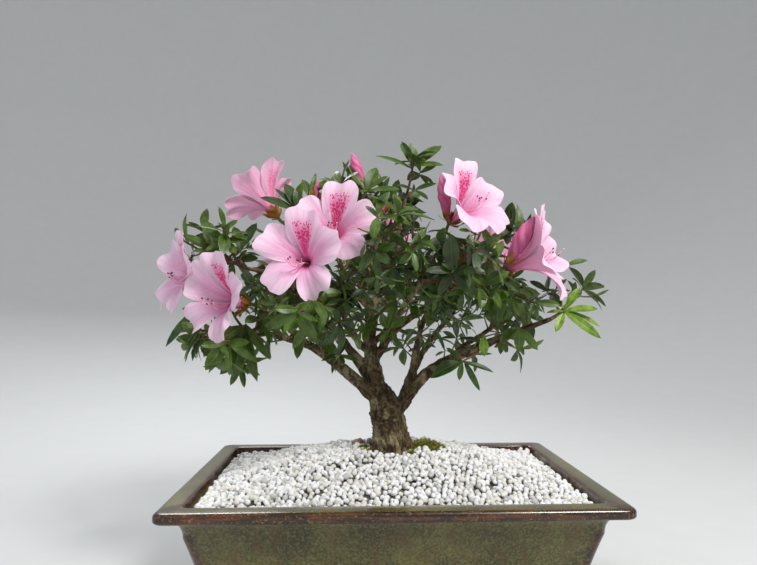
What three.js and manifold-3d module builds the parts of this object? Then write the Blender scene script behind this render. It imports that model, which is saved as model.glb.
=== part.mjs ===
// An azalea bonsai in flower, growing in a glazed rectangular pot with a bed of white pebbles.
// Millimetres, +Z up. The origin is on the ground under the middle of the pot, whose front faces -Y.
import * as THREE from 'three';
import { mergeVertices } from 'three/addons/utils/BufferGeometryUtils.js';
import Module from 'manifold-3d';

const wasm = await Module();
wasm.setup();
const { Manifold, Mesh } = wasm;

// Driving dimensions
const GAP = 0.3; // clearance between solids that touch
const FUSE = 0.15; // slivers under this size are closed up where leaves meet twigs
const SEED = 24;

const POT = {
  length: 340, depth: 230, height: 100, corner: 7, cornerSteps: 3,
  lip: 8, lipOverhang: 7, neckInset: 16.5, neckDrop: 23, neckStep: 1, coveSteps: 3,
  baseInset: 33, baseRise: 2.5, footInset: 31, footWidth: 11, footTaper: 1, foot: 9,
  underside: 12, floor: 20, innerTop: 19, innerFloor: 40,
  drainRadius: 10, drainOffset: 70, drainSides: 16,
  lipSection: [[1.2, 7.4], [0, 5.5], [0.4, 1.8], [2.4, 0], [15, 0], [16.5, 1.2]], // inset, drop below the rim
};
const ARCH = { long: 178, short: 92, height: 6, shoulder: 9, below: 1, curveSteps: 4 };
const SOIL_TOP = 89;
const MOUND = {
  edge: 96, rise: 27, peakY: 12, power: 1.6, corner: 3, rings: 8, roughness: 2.2, spacing: 30,
  seatRadius: 26, seatHeight: 40, seatSides: 18,
};
const LUMPS = {
  moss: { at: [31, 5, 120.5], size: [15, 11, 6] },
  stone_chip: { at: [-27, 12, 121.5], size: [6.5, 5, 4.5] },
};
const LUMP_ROUGHNESS = 0.12;
const TRUNK = {
  ground: 119.5, sides: 14, steps: 11,
  rootLobes: 5, rootTurn: 0.6, rootSwell: 0.2, rootFade: 18, leastSwell: 0.12,
  path: [[1, -2, 110], [1, -2, 121], [0, -1, 139], [-4, 0, 155], [-11, 0, 173]],
  radii: [19, 17.5, 14.7, 14.4, 9],
};
const LIMB = {
  bends: [0.3, 0.65], crooked: 0.03, taper: 0.8, samples: 10,
  stout: 4, stoutSkin: { sides: 8, steps: 7 }, slimSkin: { sides: 5, steps: 5 },
};
const LEAF = {
  length: 37, width: 16.5, thick: 1.3, widest: 0.52, edgeLift: 0.4, tipDrop: 1.5, petiole: 0.05,
  sizes: [1, 0.88, 0.76, 0.64], fullness: 0.86, variety: 0.2,
  apart: 4.5, ribChecks: [0.3, 0.65, 1], roomChecks: [0.15, 0.3, 0.5, 0.7, 0.9, 1],
};
const SHOOT = {
  count: 6, leaves: 6, fewest: 3, open: [74, 46], openVariety: 12,
  radius: 1.3, flare: 1.2, hub: 2.5, inset: 0.6, spread: 1.6, upward: 0.15, startSpan: 0.5,
  reaches: [1, 0.8, 0.6, 0.4], checks: [0.25, 0.5, 0.75, 1], wallRoom: 2,
};
const STEM = { radius: 1.9, end: 0.75, sag: 0.06, sides: 4, steps: 2 };
const BLOOM = {
  depth: 31, radius: 31.5, notch: 0.58, tipBreadth: 0.6, tube: 2.4, throat: 5, mid: 0.6, thick: 1.3,
  lobes: 5, perLobe: 4, tubeShare: 0.45, throatShare: 0.5,
  midShare: 0.86, midLobed: 0.5, midDroop: 1, rimDroop: 4,
};
const BUD = {
  length: 36, radius: 6, sides: 7, profile: [[0, 0.28], [0.25, 0.5], [0.55, 1], [0.8, 0.75], [1, 0.12]],
};
const STALK = {
  sides: 3, steps: 3, radii: [1.5, 2.3], budRadii: [1.5, 1.5], bend: 0.3, shares: [0.6, 0.5], into: 3,
  sideBack: 3, sideReach: 9, sideLean: [0, 3, 0], sideInto: 2, sideRadius: 1.8,
};
const FLOWER_ROOM = { foot: 3.5, flare: 0.9, beyond: 1 };

// Each limb grows from a share of the way along its parent to a tip given by its
// bearing round the trunk (degrees, 0 to the right, 90 to the back), reach and height.
const LIMBS = [
  // name, parent, share, tip, bow to the side, radii at the start and tip
  ['bough_leader', 'trunk', 0.96, [37, 10, 308], [-13, -2, 0], [8, 2.8]],
  ['bough_right_low', 'trunk', 0.55, [354, 142, 233], [-8, -2, 14], [7, 2]],
  ['bough_left_low', 'trunk', 0.8, [193, 107, 221], [2, 2, 8], [6.6, 2.4]],
  ['bough_right_up', 'bough_right_low', 0.2, [5, 44, 258], [-4, 1, 2], [3.6, 2]],
  ['bough_left_up', 'bough_leader', 0.12, [179, 112, 276], [2, 2, 3], [3.4, 2]],
  ['bough_centre_right', 'bough_leader', 0.2, [350, 77, 276], [-6, 2, 4], [4, 2.1]],
  ['bough_front_left', 'bough_leader', 0.26, [224, 66, 256], [-2, -6, -4], [3.4, 2]],
  ['bough_front_right', 'bough_leader', 0.34, [295, 57, 264], [0, -7, -4], [3.2, 2]],
  ['bough_back_left', 'trunk', 0.9, [141, 98, 243], [3, 4, 6], [5, 2.2]],
  ['bough_back_right', 'bough_right_low', 0.1, [45, 99, 240], [-4, 8, 6], [4.4, 2.2]],
  ['bough_back', 'bough_leader', 0.24, [96, 74, 270], [0, 8, -4], [3.6, 2]],
  ['bough_top_left', 'bough_leader', 0.56, [176, 52, 306], [-6, 2, -4], [3, 2]],
  ['bough_right_top', 'bough_leader', 0.6, [0, 62, 300], [6, -2, -6], [3, 2]],
  ['bough_right_back', 'bough_right_low', 0.48, [17, 117, 233], [-2, 8, 0], [3, 1.9]],
].map(([name, from, share, to, bow, radii]) => ({ name, from, share, to, bow, radii }));

// Each mass of foliage fills a ball round its own place, up to its neighbours, on a stem
// that leaves its bough at a share of the way along it.
const MASSES = [
  // name, bough, share, middle, radius
  ['foliage_left_tip', 'bough_left_up', 1, [182, 156, 290], 46],
  ['foliage_left_low', 'bough_left_low', 1, [196, 137, 221], 46],
  ['foliage_upper_left', 'bough_top_left', 1, [180, 92, 325], 42],
  ['foliage_front_left', 'bough_front_left', 1, [231, 98, 244], 44],
  ['foliage_top_left', 'bough_top_left', 0.75, [178, 34, 343], 38],
  ['foliage_top', 'bough_leader', 1, [6, 18, 356], 43],
  ['foliage_centre', 'bough_front_left', 0.7, [264, 76, 290], 46],
  ['foliage_front_right', 'bough_front_right', 1, [308, 86, 270], 45],
  ['foliage_right_upper', 'bough_right_top', 1, [2, 102, 306], 44],
  ['foliage_right_mid', 'bough_centre_right', 1, [334, 111, 254], 42],
  ['foliage_right_tip', 'bough_right_low', 1, [358, 161, 246], 43],
  ['foliage_right_low', 'bough_right_low', 0.52, [331, 87, 206], 34],
  ['foliage_right_back', 'bough_right_back', 1, [21, 137, 240], 42],
  ['foliage_centre_low', 'bough_right_up', 1, [7, 36, 264], 38],
  ['foliage_back_left', 'bough_back_left', 1, [149, 121, 266], 48],
  ['foliage_back', 'bough_back', 1, [99, 80, 286], 44],
  ['foliage_back_right', 'bough_back_right', 1, [47, 106, 270], 46],
  ['foliage_back_top', 'bough_leader', 0.8, [85, 50, 336], 42],
].map(([name, bough, share, at, radius]) => ({ name, bough, share, at, radius }));

// Each open flower looks along its bearing and tilt from the middle of its face.
const BLOOMS = [
  // name, bough, share, middle of the face, look and, beside some, a bud's bearing and tilt
  ['bloom_left_outer', 'bough_left_low', 0.9, [188, 185, 272], [215, 14]],
  ['bloom_left_front', 'bough_left_low', 0.75, [208, 157, 249], [230, 6]],
  ['bloom_upper_left', 'bough_top_left', 0.86, [172, 121, 350], [145, 46]],
  ['bloom_centre_left', 'bough_front_left', 0.86, [231, 118, 281], [256, 8]],
  ['bloom_centre_upper', 'bough_top_left', 0.45, [232, 77, 311], [270, 22]],
  ['bloom_top_right', 'bough_right_top', 0.86, [328, 82, 334], [306, 30], [150, 76]],
  ['bloom_right', 'bough_centre_right', 0.8, [338, 133, 286], [335, 20], [10, 56]],
  ['bloom_back_left', 'bough_back_left', 0.8, [142, 132, 300], [128, 20]],
  ['bloom_back', 'bough_back', 0.8, [86, 108, 322], [80, 24]],
  ['bloom_back_right', 'bough_back_right', 0.8, [36, 144, 300], [44, 14]],
].map(([name, bough, share, at, look, bud]) => ({ name, bough, share, at, look, bud }));
const BUDS = [{ name: 'bud_top', bough: 'bough_top_left', share: 0.6, at: [180, 34, 385], look: [180, 72] }];

// Small helpers
const v = (x, y, z) => new THREE.Vector3(x, y, z);
const rad = THREE.MathUtils.degToRad;
const mix = THREE.MathUtils.lerp;
const place = ([bearing, reach, height]) =>
  v(reach * Math.cos(rad(bearing)), reach * Math.sin(rad(bearing)), height);
const direction = ([bearing, tilt]) => place([bearing, Math.cos(rad(tilt)), Math.sin(rad(tilt))]);

function seededRandom(seed) {
  let state = seed | 0;
  return () => {
    state = (state + 0x6d2b79f5) | 0;
    let t = Math.imul(state ^ (state >>> 15), 1 | state);
    t = (t + Math.imul(t ^ (t >>> 7), 61 | t)) ^ t;
    return ((t ^ (t >>> 14)) >>> 0) / 2 ** 32;
  };
}

function solid(geometry) {
  const plain = geometry.clone();
  plain.deleteAttribute('normal');
  plain.deleteAttribute('uv');
  const merged = mergeVertices(plain, 1e-4);
  return new Manifold(new Mesh({
    numProp: 3,
    vertProperties: new Float32Array(merged.attributes.position.array),
    triVerts: new Uint32Array(merged.index.array),
  }));
}

function geometryOf(body) {
  const mesh = body.getMesh();
  const geometry = new THREE.BufferGeometry();
  geometry.setAttribute('position', new THREE.BufferAttribute(mesh.vertProperties.slice(), 3));
  geometry.setIndex(new THREE.BufferAttribute(mesh.triVerts.slice(), 1));
  geometry.computeVertexNormals();
  return geometry;
}

// A body keeps only its largest piece, so a cut leaves no loose scrap.
function largest(body) {
  const pieces = body.decompose();
  return pieces.sort((a, b) => b.volume() - a.volume())[0];
}

// A skin over rings of equal length, closed by a fan at each end
function loft(rings) {
  const count = rings[0].length;
  const middle = (ring) => ring.reduce((sum, p) => sum.add(p), v(0, 0, 0)).divideScalar(count);
  const points = [middle(rings[0]), ...rings.flat(), middle(rings.at(-1))];
  const end = points.length - 1;
  const faces = [];
  for (let i = 0; i < count; i++) {
    const j = (i + 1) % count;
    faces.push(0, 1 + j, 1 + i, end, end - count + i, end - count + j);
    for (let k = 0; k < rings.length - 1; k++) {
      const low = 1 + k * count;
      const high = low + count;
      faces.push(low + i, low + j, high + j, low + i, high + j, high + i);
    }
  }
  const geometry = new THREE.BufferGeometry().setFromPoints(points);
  geometry.setIndex(faces);
  return solid(geometry);
}

// A rounded rectangle at one height, counter-clockwise from above
function rectangleRing(halfX, halfY, height, corner, cornerSteps, spacing = Infinity) {
  const corners = [[1, 1, 0], [-1, 1, 90], [-1, -1, 180], [1, -1, 270]];
  const ring = [];
  for (const [sx, sy, start] of corners) {
    for (let k = 0; k <= cornerSteps; k++) {
      const angle = rad(start + (90 * k) / cornerSteps);
      const x = sx * (halfX - corner) + corner * Math.cos(angle);
      ring.push(v(x, sy * (halfY - corner) + corner * Math.sin(angle), height));
    }
  }
  return ring.flatMap((p, i) => {
    const next = ring[(i + 1) % ring.length];
    const parts = Math.max(1, Math.round(p.distanceTo(next) / spacing));
    return Array.from({ length: parts }, (_, k) => p.clone().lerp(next, k / parts));
  });
}

// Pot, soil, pebbles, moss
const potRing = (inset, height) =>
  rectangleRing(POT.length / 2 - inset, POT.depth / 2 - inset, height, POT.corner, POT.cornerSteps);
const innerInset = (height) =>
  mix(POT.innerFloor, POT.innerTop, (height - POT.floor) / (POT.height - POT.lip - POT.floor));

// The hollow curve under the lip, from its foot up
function cove() {
  const { height, lip, lipOverhang, neckInset, neckDrop, neckStep, coveSteps } = POT;
  return Array.from({ length: coveSteps + 1 }, (_, k) => {
    const angle = (Math.PI / 2) * (1 - k / coveSteps);
    return [lipOverhang + (neckInset - lipOverhang) * Math.sin(angle),
      height - neckDrop + (neckDrop - lip - neckStep) * Math.cos(angle)];
  });
}

// The pot's section as insets from the rim's outline and heights, up the outside and down the inside
function wallProfile() {
  const { height, baseInset, baseRise, footInset, footWidth, footTaper, foot, underside } = POT;
  return [
    [footInset + footWidth + footTaper, underside], [footInset + footWidth, 0],
    [footInset, 0], [footInset, foot], [baseInset, foot + baseRise],
    ...cove(), ...POT.lipSection.map(([inset, drop]) => [inset, height - drop]),
    [POT.innerTop, height - POT.lip], [POT.innerFloor, POT.floor],
  ];
}

// The arched opening between two feet, cut through the whole base
function footArch(width, length) {
  const half = width / 2;
  const { height, shoulder, below } = ARCH;
  const shape = new THREE.Shape();
  shape.moveTo(-half, -below);
  shape.lineTo(half, -below);
  shape.quadraticCurveTo(half - shoulder / 2, height, half - 2 * shoulder, height);
  shape.lineTo(-half + 2 * shoulder, height);
  shape.quadraticCurveTo(-half + shoulder / 2, height, -half, -below);
  const options = { depth: length, bevelEnabled: false, curveSegments: ARCH.curveSteps };
  return new THREE.ExtrudeGeometry(shape, options).translate(0, 0, -length / 2).rotateX(Math.PI / 2);
}

function pot() {
  let body = loft(wallProfile().map(([inset, height]) => potRing(inset, height)));
  body = body.subtract(solid(footArch(ARCH.long, POT.depth)));
  body = body.subtract(solid(footArch(ARCH.short, POT.length).rotateZ(Math.PI / 2)));
  for (const side of [-1, 1]) {
    const hole = new THREE.CylinderGeometry(POT.drainRadius, POT.drainRadius, POT.floor * 2, POT.drainSides);
    hole.rotateX(Math.PI / 2).translate(side * POT.drainOffset, 0, POT.floor);
    body = body.subtract(solid(hole));
  }
  return body;
}

function soil() {
  const clear = 2 * GAP;
  return loft([POT.floor + GAP, SOIL_TOP].map((height) => potRing(innerInset(height) + clear, height)));
}

function moundHeight(x, y, halfX, halfY) {
  const across = Math.abs(x) / halfX;
  const along = (y - MOUND.peakY) / (Math.sign(y - MOUND.peakY) * halfY - MOUND.peakY);
  const spread = Math.min(1, (across ** MOUND.corner + along ** MOUND.corner) ** (1 / MOUND.corner));
  return MOUND.edge + MOUND.rise * (1 - spread ** MOUND.power);
}

// The bed of pebbles: an uneven mound with a flat seat under the trunk
function pebbleBed(random) {
  const bottom = SOIL_TOP + GAP;
  const inset = innerInset(bottom) + 2 * GAP;
  const halfX = POT.length / 2 - inset;
  const halfY = POT.depth / 2 - inset;
  const edge = rectangleRing(halfX, halfY, bottom, POT.corner, 1, MOUND.spacing);
  const rings = [edge, edge.map((p) => v(p.x, p.y, MOUND.edge))];
  for (let k = 1; k < MOUND.rings; k++) {
    const scale = 1 - k / MOUND.rings;
    rings.push(edge.map((p) => {
      const x = p.x * scale;
      const y = p.y * scale;
      return v(x, y, moundHeight(x, y, halfX, halfY) + MOUND.roughness * (2 * random() - 1));
    }));
  }
  const { seatRadius, seatHeight, seatSides } = MOUND;
  const seat = new THREE.CylinderGeometry(seatRadius, seatRadius, seatHeight, seatSides).rotateX(Math.PI / 2);
  seat.translate(TRUNK.path[0][0], TRUNK.path[0][1], TRUNK.ground - GAP + seatHeight / 2);
  return loft(rings).subtract(solid(seat));
}

// A rounded lump with an uneven skin, for the moss and the stone
function lump({ at, size }, random) {
  const facets = new THREE.IcosahedronGeometry(1, 1).deleteAttribute('normal').deleteAttribute('uv');
  const ball = mergeVertices(facets);
  const position = ball.attributes.position;
  for (let i = 0; i < position.count; i++) {
    const swell = 1 + LUMP_ROUGHNESS * (2 * random() - 1);
    const p = v(0, 0, 0).fromBufferAttribute(position, i).multiplyScalar(swell).multiply(v(...size));
    position.setXYZ(i, ...p.add(v(...at)));
  }
  return solid(ball);
}

// Trunk and boughs
const limbs = new Map(); // name: curve, radii and the samples that keep leaves clear of it

function alongCurve(limb, share) {
  const t = share * (limb.radii.length - 1);
  const k = Math.min(Math.floor(t), limb.radii.length - 2);
  return { point: limb.curve.getPoint(share), radius: mix(limb.radii[k], limb.radii[k + 1], t - k) };
}

// A tapering tube along a curve. `grow` thickens and lengthens it by a clearance.
function sweep(limb, { sides, steps, grow = 0, swell = () => 1 }) {
  const normal = v(1, 0, 0);
  const rings = [];
  for (let k = 0; k <= steps; k++) {
    const { point, radius } = alongCurve(limb, k / steps);
    const tangent = limb.curve.getTangent(k / steps);
    normal.addScaledVector(tangent, -normal.dot(tangent)).normalize();
    const side = tangent.clone().cross(normal);
    const past = k === 0 ? -grow : k === steps ? grow : 0;
    const centre = point.clone().addScaledVector(tangent, past);
    rings.push(Array.from({ length: sides }, (_, i) => {
      const angle = (2 * Math.PI * i) / sides;
      const r = radius * swell(angle, centre.z) + grow;
      return centre.clone().addScaledVector(normal, r * Math.cos(angle))
        .addScaledVector(side, r * Math.sin(angle));
    }));
  }
  return loft(rings);
}

function addLimb(name, points, radii) {
  const curve = new THREE.CatmullRomCurve3(points, false, 'centripetal');
  const limb = { curve, radii };
  limb.samples = Array.from({ length: LIMB.samples + 1 }, (_, k) => alongCurve(limb, k / LIMB.samples));
  limbs.set(name, limb);
}

function rootSwell(angle, height) {
  const { ground, rootFade, rootLobes, rootTurn, leastSwell } = TRUNK;
  const fade = THREE.MathUtils.clamp(1 - (height - ground) / rootFade, leastSwell, 1);
  return 1 + TRUNK.rootSwell * fade * Math.cos(rootLobes * angle + rootTurn);
}

function trunk(grow = 0) {
  const body = sweep(limbs.get('trunk'), { sides: TRUNK.sides, steps: TRUNK.steps, grow, swell: rootSwell });
  return body.trimByPlane([0, 0, 1], TRUNK.ground - grow);
}

// A limb runs from its parent to its tip through two points that are bowed aside and a little crooked.
function growLimbs(random) {
  addLimb('trunk', TRUNK.path.map((p) => v(...p)), TRUNK.radii);
  for (const { name, from, share, to, bow, radii } of LIMBS) {
    const start = alongCurve(limbs.get(from), share).point;
    const tip = place(to);
    const crooked = 2 * LIMB.crooked * start.distanceTo(tip);
    const points = LIMB.bends.map((t) => start.clone().lerp(tip, t)
      .addScaledVector(v(...bow), 4 * t * (1 - t))
      .addScaledVector(v(random() - 0.5, random() - 0.5, random() - 0.5), crooked));
    const middle = LIMB.bends.map((t) => mix(...radii, t ** LIMB.taper));
    addLimb(name, [start, ...points, tip], [radii[0], ...middle, radii[1]]);
  }
}

function boughBody({ name, radii }, grow = 0) {
  const skin = radii[0] > LIMB.stout ? LIMB.stoutSkin : LIMB.slimSkin;
  return sweep(limbs.get(name), { ...skin, grow });
}

const grownBough = (name) => boughBody(LIMBS.find((bough) => bough.name === name), GAP);

function distanceToLine(p, a, b) {
  return new THREE.Line3(a, b).closestPointToPoint(p, true, v(0, 0, 0)).distanceTo(p);
}

function clearOfLimbs(p, room) {
  return [...limbs.values()].every(({ samples }) => samples.slice(1).every(({ point }, k) =>
    distanceToLine(p, samples[k].point, point) >= samples[k].radius + room));
}

// A plain twig through points, with few sides
function twig(points, radii, { sides, steps }) {
  const curve = new THREE.CatmullRomCurve3(points, false, 'centripetal');
  return sweep({ curve, radii }, { sides, steps });
}

// Flowers and buds
// A thin five-lobed funnel that opens along +Z from a tube at the origin, its top lobe towards +X
function corolla() {
  const { depth, radius, notch, tipBreadth, tube, throat, mid, thick, lobes, perLobe } = BLOOM;
  const { tubeShare, throatShare, midShare, midLobed, midDroop, rimDroop } = BLOOM;
  const count = lobes * perLobe;
  const ringAt = (radial, height, lobed, droop = 0) => Array.from({ length: count }, (_, i) => {
    const angle = (2 * Math.PI * i) / count;
    const edge = Math.abs(Math.cos((lobes * angle) / 2)) ** tipBreadth;
    const r = radial * mix(1, mix(notch, 1, edge), lobed);
    return v(r * Math.cos(angle), r * Math.sin(angle), height - droop * (1 - edge));
  });
  return loft([
    ringAt(tube, 0, 0), ringAt(throat + thick, depth * tubeShare, 0),
    ringAt(radius * mid, depth * midShare - thick, midLobed, midDroop),
    ringAt(radius, depth - thick, 1, rimDroop), ringAt(radius, depth, 1, rimDroop),
    ringAt(radius * mid, depth * midShare, midLobed, midDroop), ringAt(throat, depth * throatShare, 0),
  ]);
}

// A closed bud along +Z: a spindle with its widest part past the middle
function budShape() {
  return loft(BUD.profile.map(([t, share]) => Array.from({ length: BUD.sides }, (_, i) => {
    const angle = (2 * Math.PI * i) / BUD.sides;
    return v(BUD.radius * share * Math.cos(angle), BUD.radius * share * Math.sin(angle), BUD.length * t);
  })));
}

// Stands a body that was made along +Z on its origin, along an axis, with its +X side up
function turned(body, origin, axis) {
  const upright = 0.95;
  const up = Math.abs(axis.z) > upright ? v(-1, 0, 0) : v(0, 0, 1);
  const top = up.addScaledVector(axis, -up.dot(axis)).normalize();
  const matrix = new THREE.Matrix4().makeBasis(top, axis.clone().cross(top), axis).setPosition(origin);
  return body.transform(matrix.elements);
}

const flowerBase = ({ at, look }, depth) => place(at).addScaledVector(direction(look), -depth);

// The stalk of a flower leaves its bough, bends, and comes in from behind.
function stalkPoints(flower, depth) {
  const base = flowerBase(flower, depth);
  const root = alongCurve(limbs.get(flower.bough), flower.share).point;
  const bend = base.clone().addScaledVector(direction(flower.look), -STALK.bend * base.distanceTo(root));
  const [early, late] = STALK.shares;
  return [root, root.clone().lerp(bend, early), bend.lerp(base, late),
    base.addScaledVector(direction(flower.look), STALK.into)];
}

// A half-open bud beside a flower: where its stalk starts, where it stands and which way it points
function sideBud(flower) {
  const tilt = direction(flower.bud);
  const start = flowerBase(flower, BLOOM.depth).addScaledVector(direction(flower.look), -STALK.sideBack);
  const foot = start.clone().addScaledVector(tilt, STALK.sideReach).add(v(...STALK.sideLean));
  return { start, foot, tilt };
}

function bloom(flower) {
  const base = flowerBase(flower, BLOOM.depth);
  const parts = [turned(corolla(), base, direction(flower.look)), twig(flower.stalk, STALK.radii, STALK)];
  if (flower.bud) {
    const { start, foot, tilt } = sideBud(flower);
    const sideStalk = [start, foot.clone().addScaledVector(tilt, STALK.sideInto)];
    parts.push(twig(sideStalk, [STALK.sideRadius, STALK.sideRadius], { sides: STALK.sides, steps: 1 }));
    parts.push(turned(budShape(), foot, tilt));
  }
  return largest(Manifold.union(parts).subtract(grownBough(flower.bough)));
}

function bud(flower) {
  const parts = [turned(budShape(), flowerBase(flower, BUD.length), direction(flower.look)),
    twig(flower.stalk, STALK.budRadii, STALK)];
  return largest(Manifold.union(parts).subtract(grownBough(flower.bough)));
}

// Leaves stay out of the cone between a flower's foot and the rim of its petals.
function insideCone(p, base, axis, { length, width }, room) {
  const { foot, flare, beyond } = FLOWER_ROOM;
  const toPoint = p.clone().sub(base);
  const along = toPoint.dot(axis);
  const across = toPoint.addScaledVector(axis, -along).length();
  const share = THREE.MathUtils.clamp(along / length, 0, 1);
  return along > -room && along < length + room + beyond && across < mix(foot, width, share ** flare) + room;
}

function clearOfFlowers(p, room) {
  const open = { length: BLOOM.depth, width: BLOOM.radius };
  const closed = { length: BUD.length, width: BUD.radius };
  const clearOfBloom = (flower) => {
    if (insideCone(p, flowerBase(flower, BLOOM.depth), direction(flower.look), open, room)) return false;
    if (!flower.bud) return true;
    const { foot, tilt } = sideBud(flower);
    return !insideCone(p, foot, tilt, closed, room);
  };
  const clearOfBud = (flower) =>
    !insideCone(p, flowerBase(flower, BUD.length), direction(flower.look), closed, room);
  return BLOOMS.every(clearOfBloom) && BUDS.every(clearOfBud);
}

// Foliage
// The walls of a mass's space are the planes between its ball and each ball that meets it.
function insideSpace(p, mass, margin = 0.2) {
  if (p.distanceTo(mass.centre) > mass.radius) return false;
  return MASSES.every((other) => {
    const span = other.centre.distanceTo(mass.centre);
    if (other === mass || span > other.radius + mass.radius) return true;
    const lead = p.distanceToSquared(other.centre) - other.radius ** 2
      - p.distanceToSquared(mass.centre) + mass.radius ** 2;
    return lead > 2 * span * margin;
  });
}

// A flat-topped elliptical blade: its two widest points, the keel under them and the tip
function leafPoints(hub, along, side, size) {
  const above = along.clone().cross(side);
  const length = LEAF.length * size;
  const half = (LEAF.width * size) / 2;
  const at = (x, y, z) =>
    hub.clone().addScaledVector(along, x).addScaledVector(side, y).addScaledVector(above, z);
  const widest = length * LEAF.widest;
  return {
    left: at(widest, half, LEAF.edgeLift), right: at(widest, -half, LEAF.edgeLift),
    keel: at(widest, 0, -LEAF.thick), tip: at(length, 0, -LEAF.tipDrop),
  };
}

// Leaves of one mass that stand on different shoots keep apart, rib to rib.
function clearOfLeaves(hub, tip, others) {
  const near = (p, [from, to]) => distanceToLine(p, from, to) <= LEAF.apart;
  return others.every((rib) => LEAF.ribChecks.every((t) =>
    !near(hub.clone().lerp(tip, t), rib) && !near(rib[0].clone().lerp(rib[1], t), [hub, tip])));
}

// A leaf that would leave the mass's space or touch a limb, a flower or another shoot's leaf doesn't fit.
function leafFits(mass, hub, leaf, size, others) {
  const points = [leaf.left, leaf.right, leaf.keel, leaf.tip];
  if (!points.every((p) => insideSpace(p, mass)) || !clearOfLeaves(hub, leaf.tip, others)) return false;
  return LEAF.roomChecks.every((t) => {
    const breadth = Math.sin(Math.PI * Math.min(1, t + LEAF.petiole));
    const room = (LEAF.width * size * breadth) / 2 + LEAF.thick + GAP;
    const p = hub.clone().lerp(leaf.tip, t);
    return clearOfLimbs(p, room) && clearOfFlowers(p, room);
  });
}

// The leaves of a whorl, by turns spreading and upright, each as large as fits. A leaf with no room is null.
function whorl(mass, hub, axis, others, random) {
  const across = v(axis.z, axis.x, axis.y).cross(axis).normalize();
  const turn = 2 * Math.PI * random();
  return Array.from({ length: SHOOT.leaves }, (_, i) => {
    const radial = across.clone().applyAxisAngle(axis, turn + (2 * Math.PI * i) / SHOOT.leaves);
    const side = axis.clone().cross(radial);
    const open = rad(SHOOT.open[i % 2] + SHOOT.openVariety * (random() - 0.5));
    const along = axis.clone().multiplyScalar(Math.cos(open)).addScaledVector(radial, Math.sin(open));
    const full = LEAF.fullness + LEAF.variety * random();
    const fits = (size) => leafFits(mass, hub, leafPoints(hub, along, side, size), size, others);
    const size = LEAF.sizes.map((share) => share * full).find(fits);
    return { radial, leaf: size ? leafPoints(hub, along, side, size) : null };
  });
}

// The faces of one leaf, between the corners a, b and below of its hub's face
function leafFaces(a, b, below, { left, right, keel, tip }) {
  return [a, right, b, right, left, b, right, tip, left, right, a, below, right, below, keel,
    right, keel, tip, b, left, below, below, left, keel, keel, left, tip];
}

// The faces of a three-sided twig that widens to the hub's ring of corners
function twigFaces(root, lower) {
  return [root[2], root[1], root[0], ...root.flatMap((corner, j) => {
    const next = root[(j + 1) % root.length];
    const [a, b, c] = [2 * j, 2 * j + 1, (2 * j + 2) % lower.length].map((k) => lower[k]);
    return [corner, b, a, corner, next, b, next, c, b];
  })];
}

// One closed body: a twig with a leaf drawn out of each face of its hub
function shoot(start, hub, axis, petioles) {
  const count = petioles.length;
  const points = [];
  const add = (p) => points.push(p) - 1;
  const around = (centre, radial, radius) => add(centre.clone().addScaledVector(radial, radius));
  const hubFoot = hub.clone().addScaledVector(axis, -SHOOT.hub);
  const between = (radial) => radial.clone().applyAxisAngle(axis, -Math.PI / count);
  const everyOther = petioles.filter((_, i) => i % 2 === 0);
  const root = everyOther.map(({ radial }) => around(start, radial, SHOOT.radius));
  const lower = petioles.map(({ radial }) => around(hubFoot, radial, SHOOT.radius));
  const upper = petioles.map(({ radial }) => around(hub, between(radial), SHOOT.radius * SHOOT.flare));
  const apex = add(hub.clone().addScaledVector(axis, SHOOT.hub));
  const faces = twigFaces(root, lower);
  petioles.forEach(({ leaf }, i) => {
    const next = (i + 1) % count;
    const [a, b, below] = [upper[i], upper[next], lower[i]];
    faces.push(a, b, apex, b, below, lower[next]);
    if (!leaf) return faces.push(a, below, b);
    const [left, right, keel, tip] = [leaf.left, leaf.right, leaf.keel, leaf.tip].map(add);
    return faces.push(...leafFaces(a, b, below, { left, right, keel, tip }));
  });
  const geometry = new THREE.BufferGeometry().setFromPoints(points);
  geometry.setIndex(faces);
  return solid(geometry);
}

// Even directions round a ball, the first along the mass's own growth
function shootDirections(outward, count, random) {
  const golden = Math.PI * (3 - Math.sqrt(5));
  const turn = 2 * Math.PI * random();
  const toOutward = new THREE.Quaternion().setFromUnitVectors(v(0, 0, 1), outward);
  return Array.from({ length: count }, (_, i) => {
    const z = 1 - (SHOOT.spread * i) / (count - 1);
    const r = Math.sqrt(1 - z * z);
    const around = turn + golden * i;
    const axis = v(r * Math.cos(around), r * Math.sin(around), z).applyQuaternion(toOutward);
    return axis.addScaledVector(v(0, 0, 1), SHOOT.upward).normalize();
  });
}

function clearTwig(mass, start, end) {
  const room = SHOOT.radius * SHOOT.flare + GAP;
  return SHOOT.checks.every((t) => {
    const p = start.clone().lerp(end, t);
    return insideSpace(p, mass, SHOOT.wallRoom) && clearOfLimbs(p, room) && clearOfFlowers(p, room);
  });
}

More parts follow.
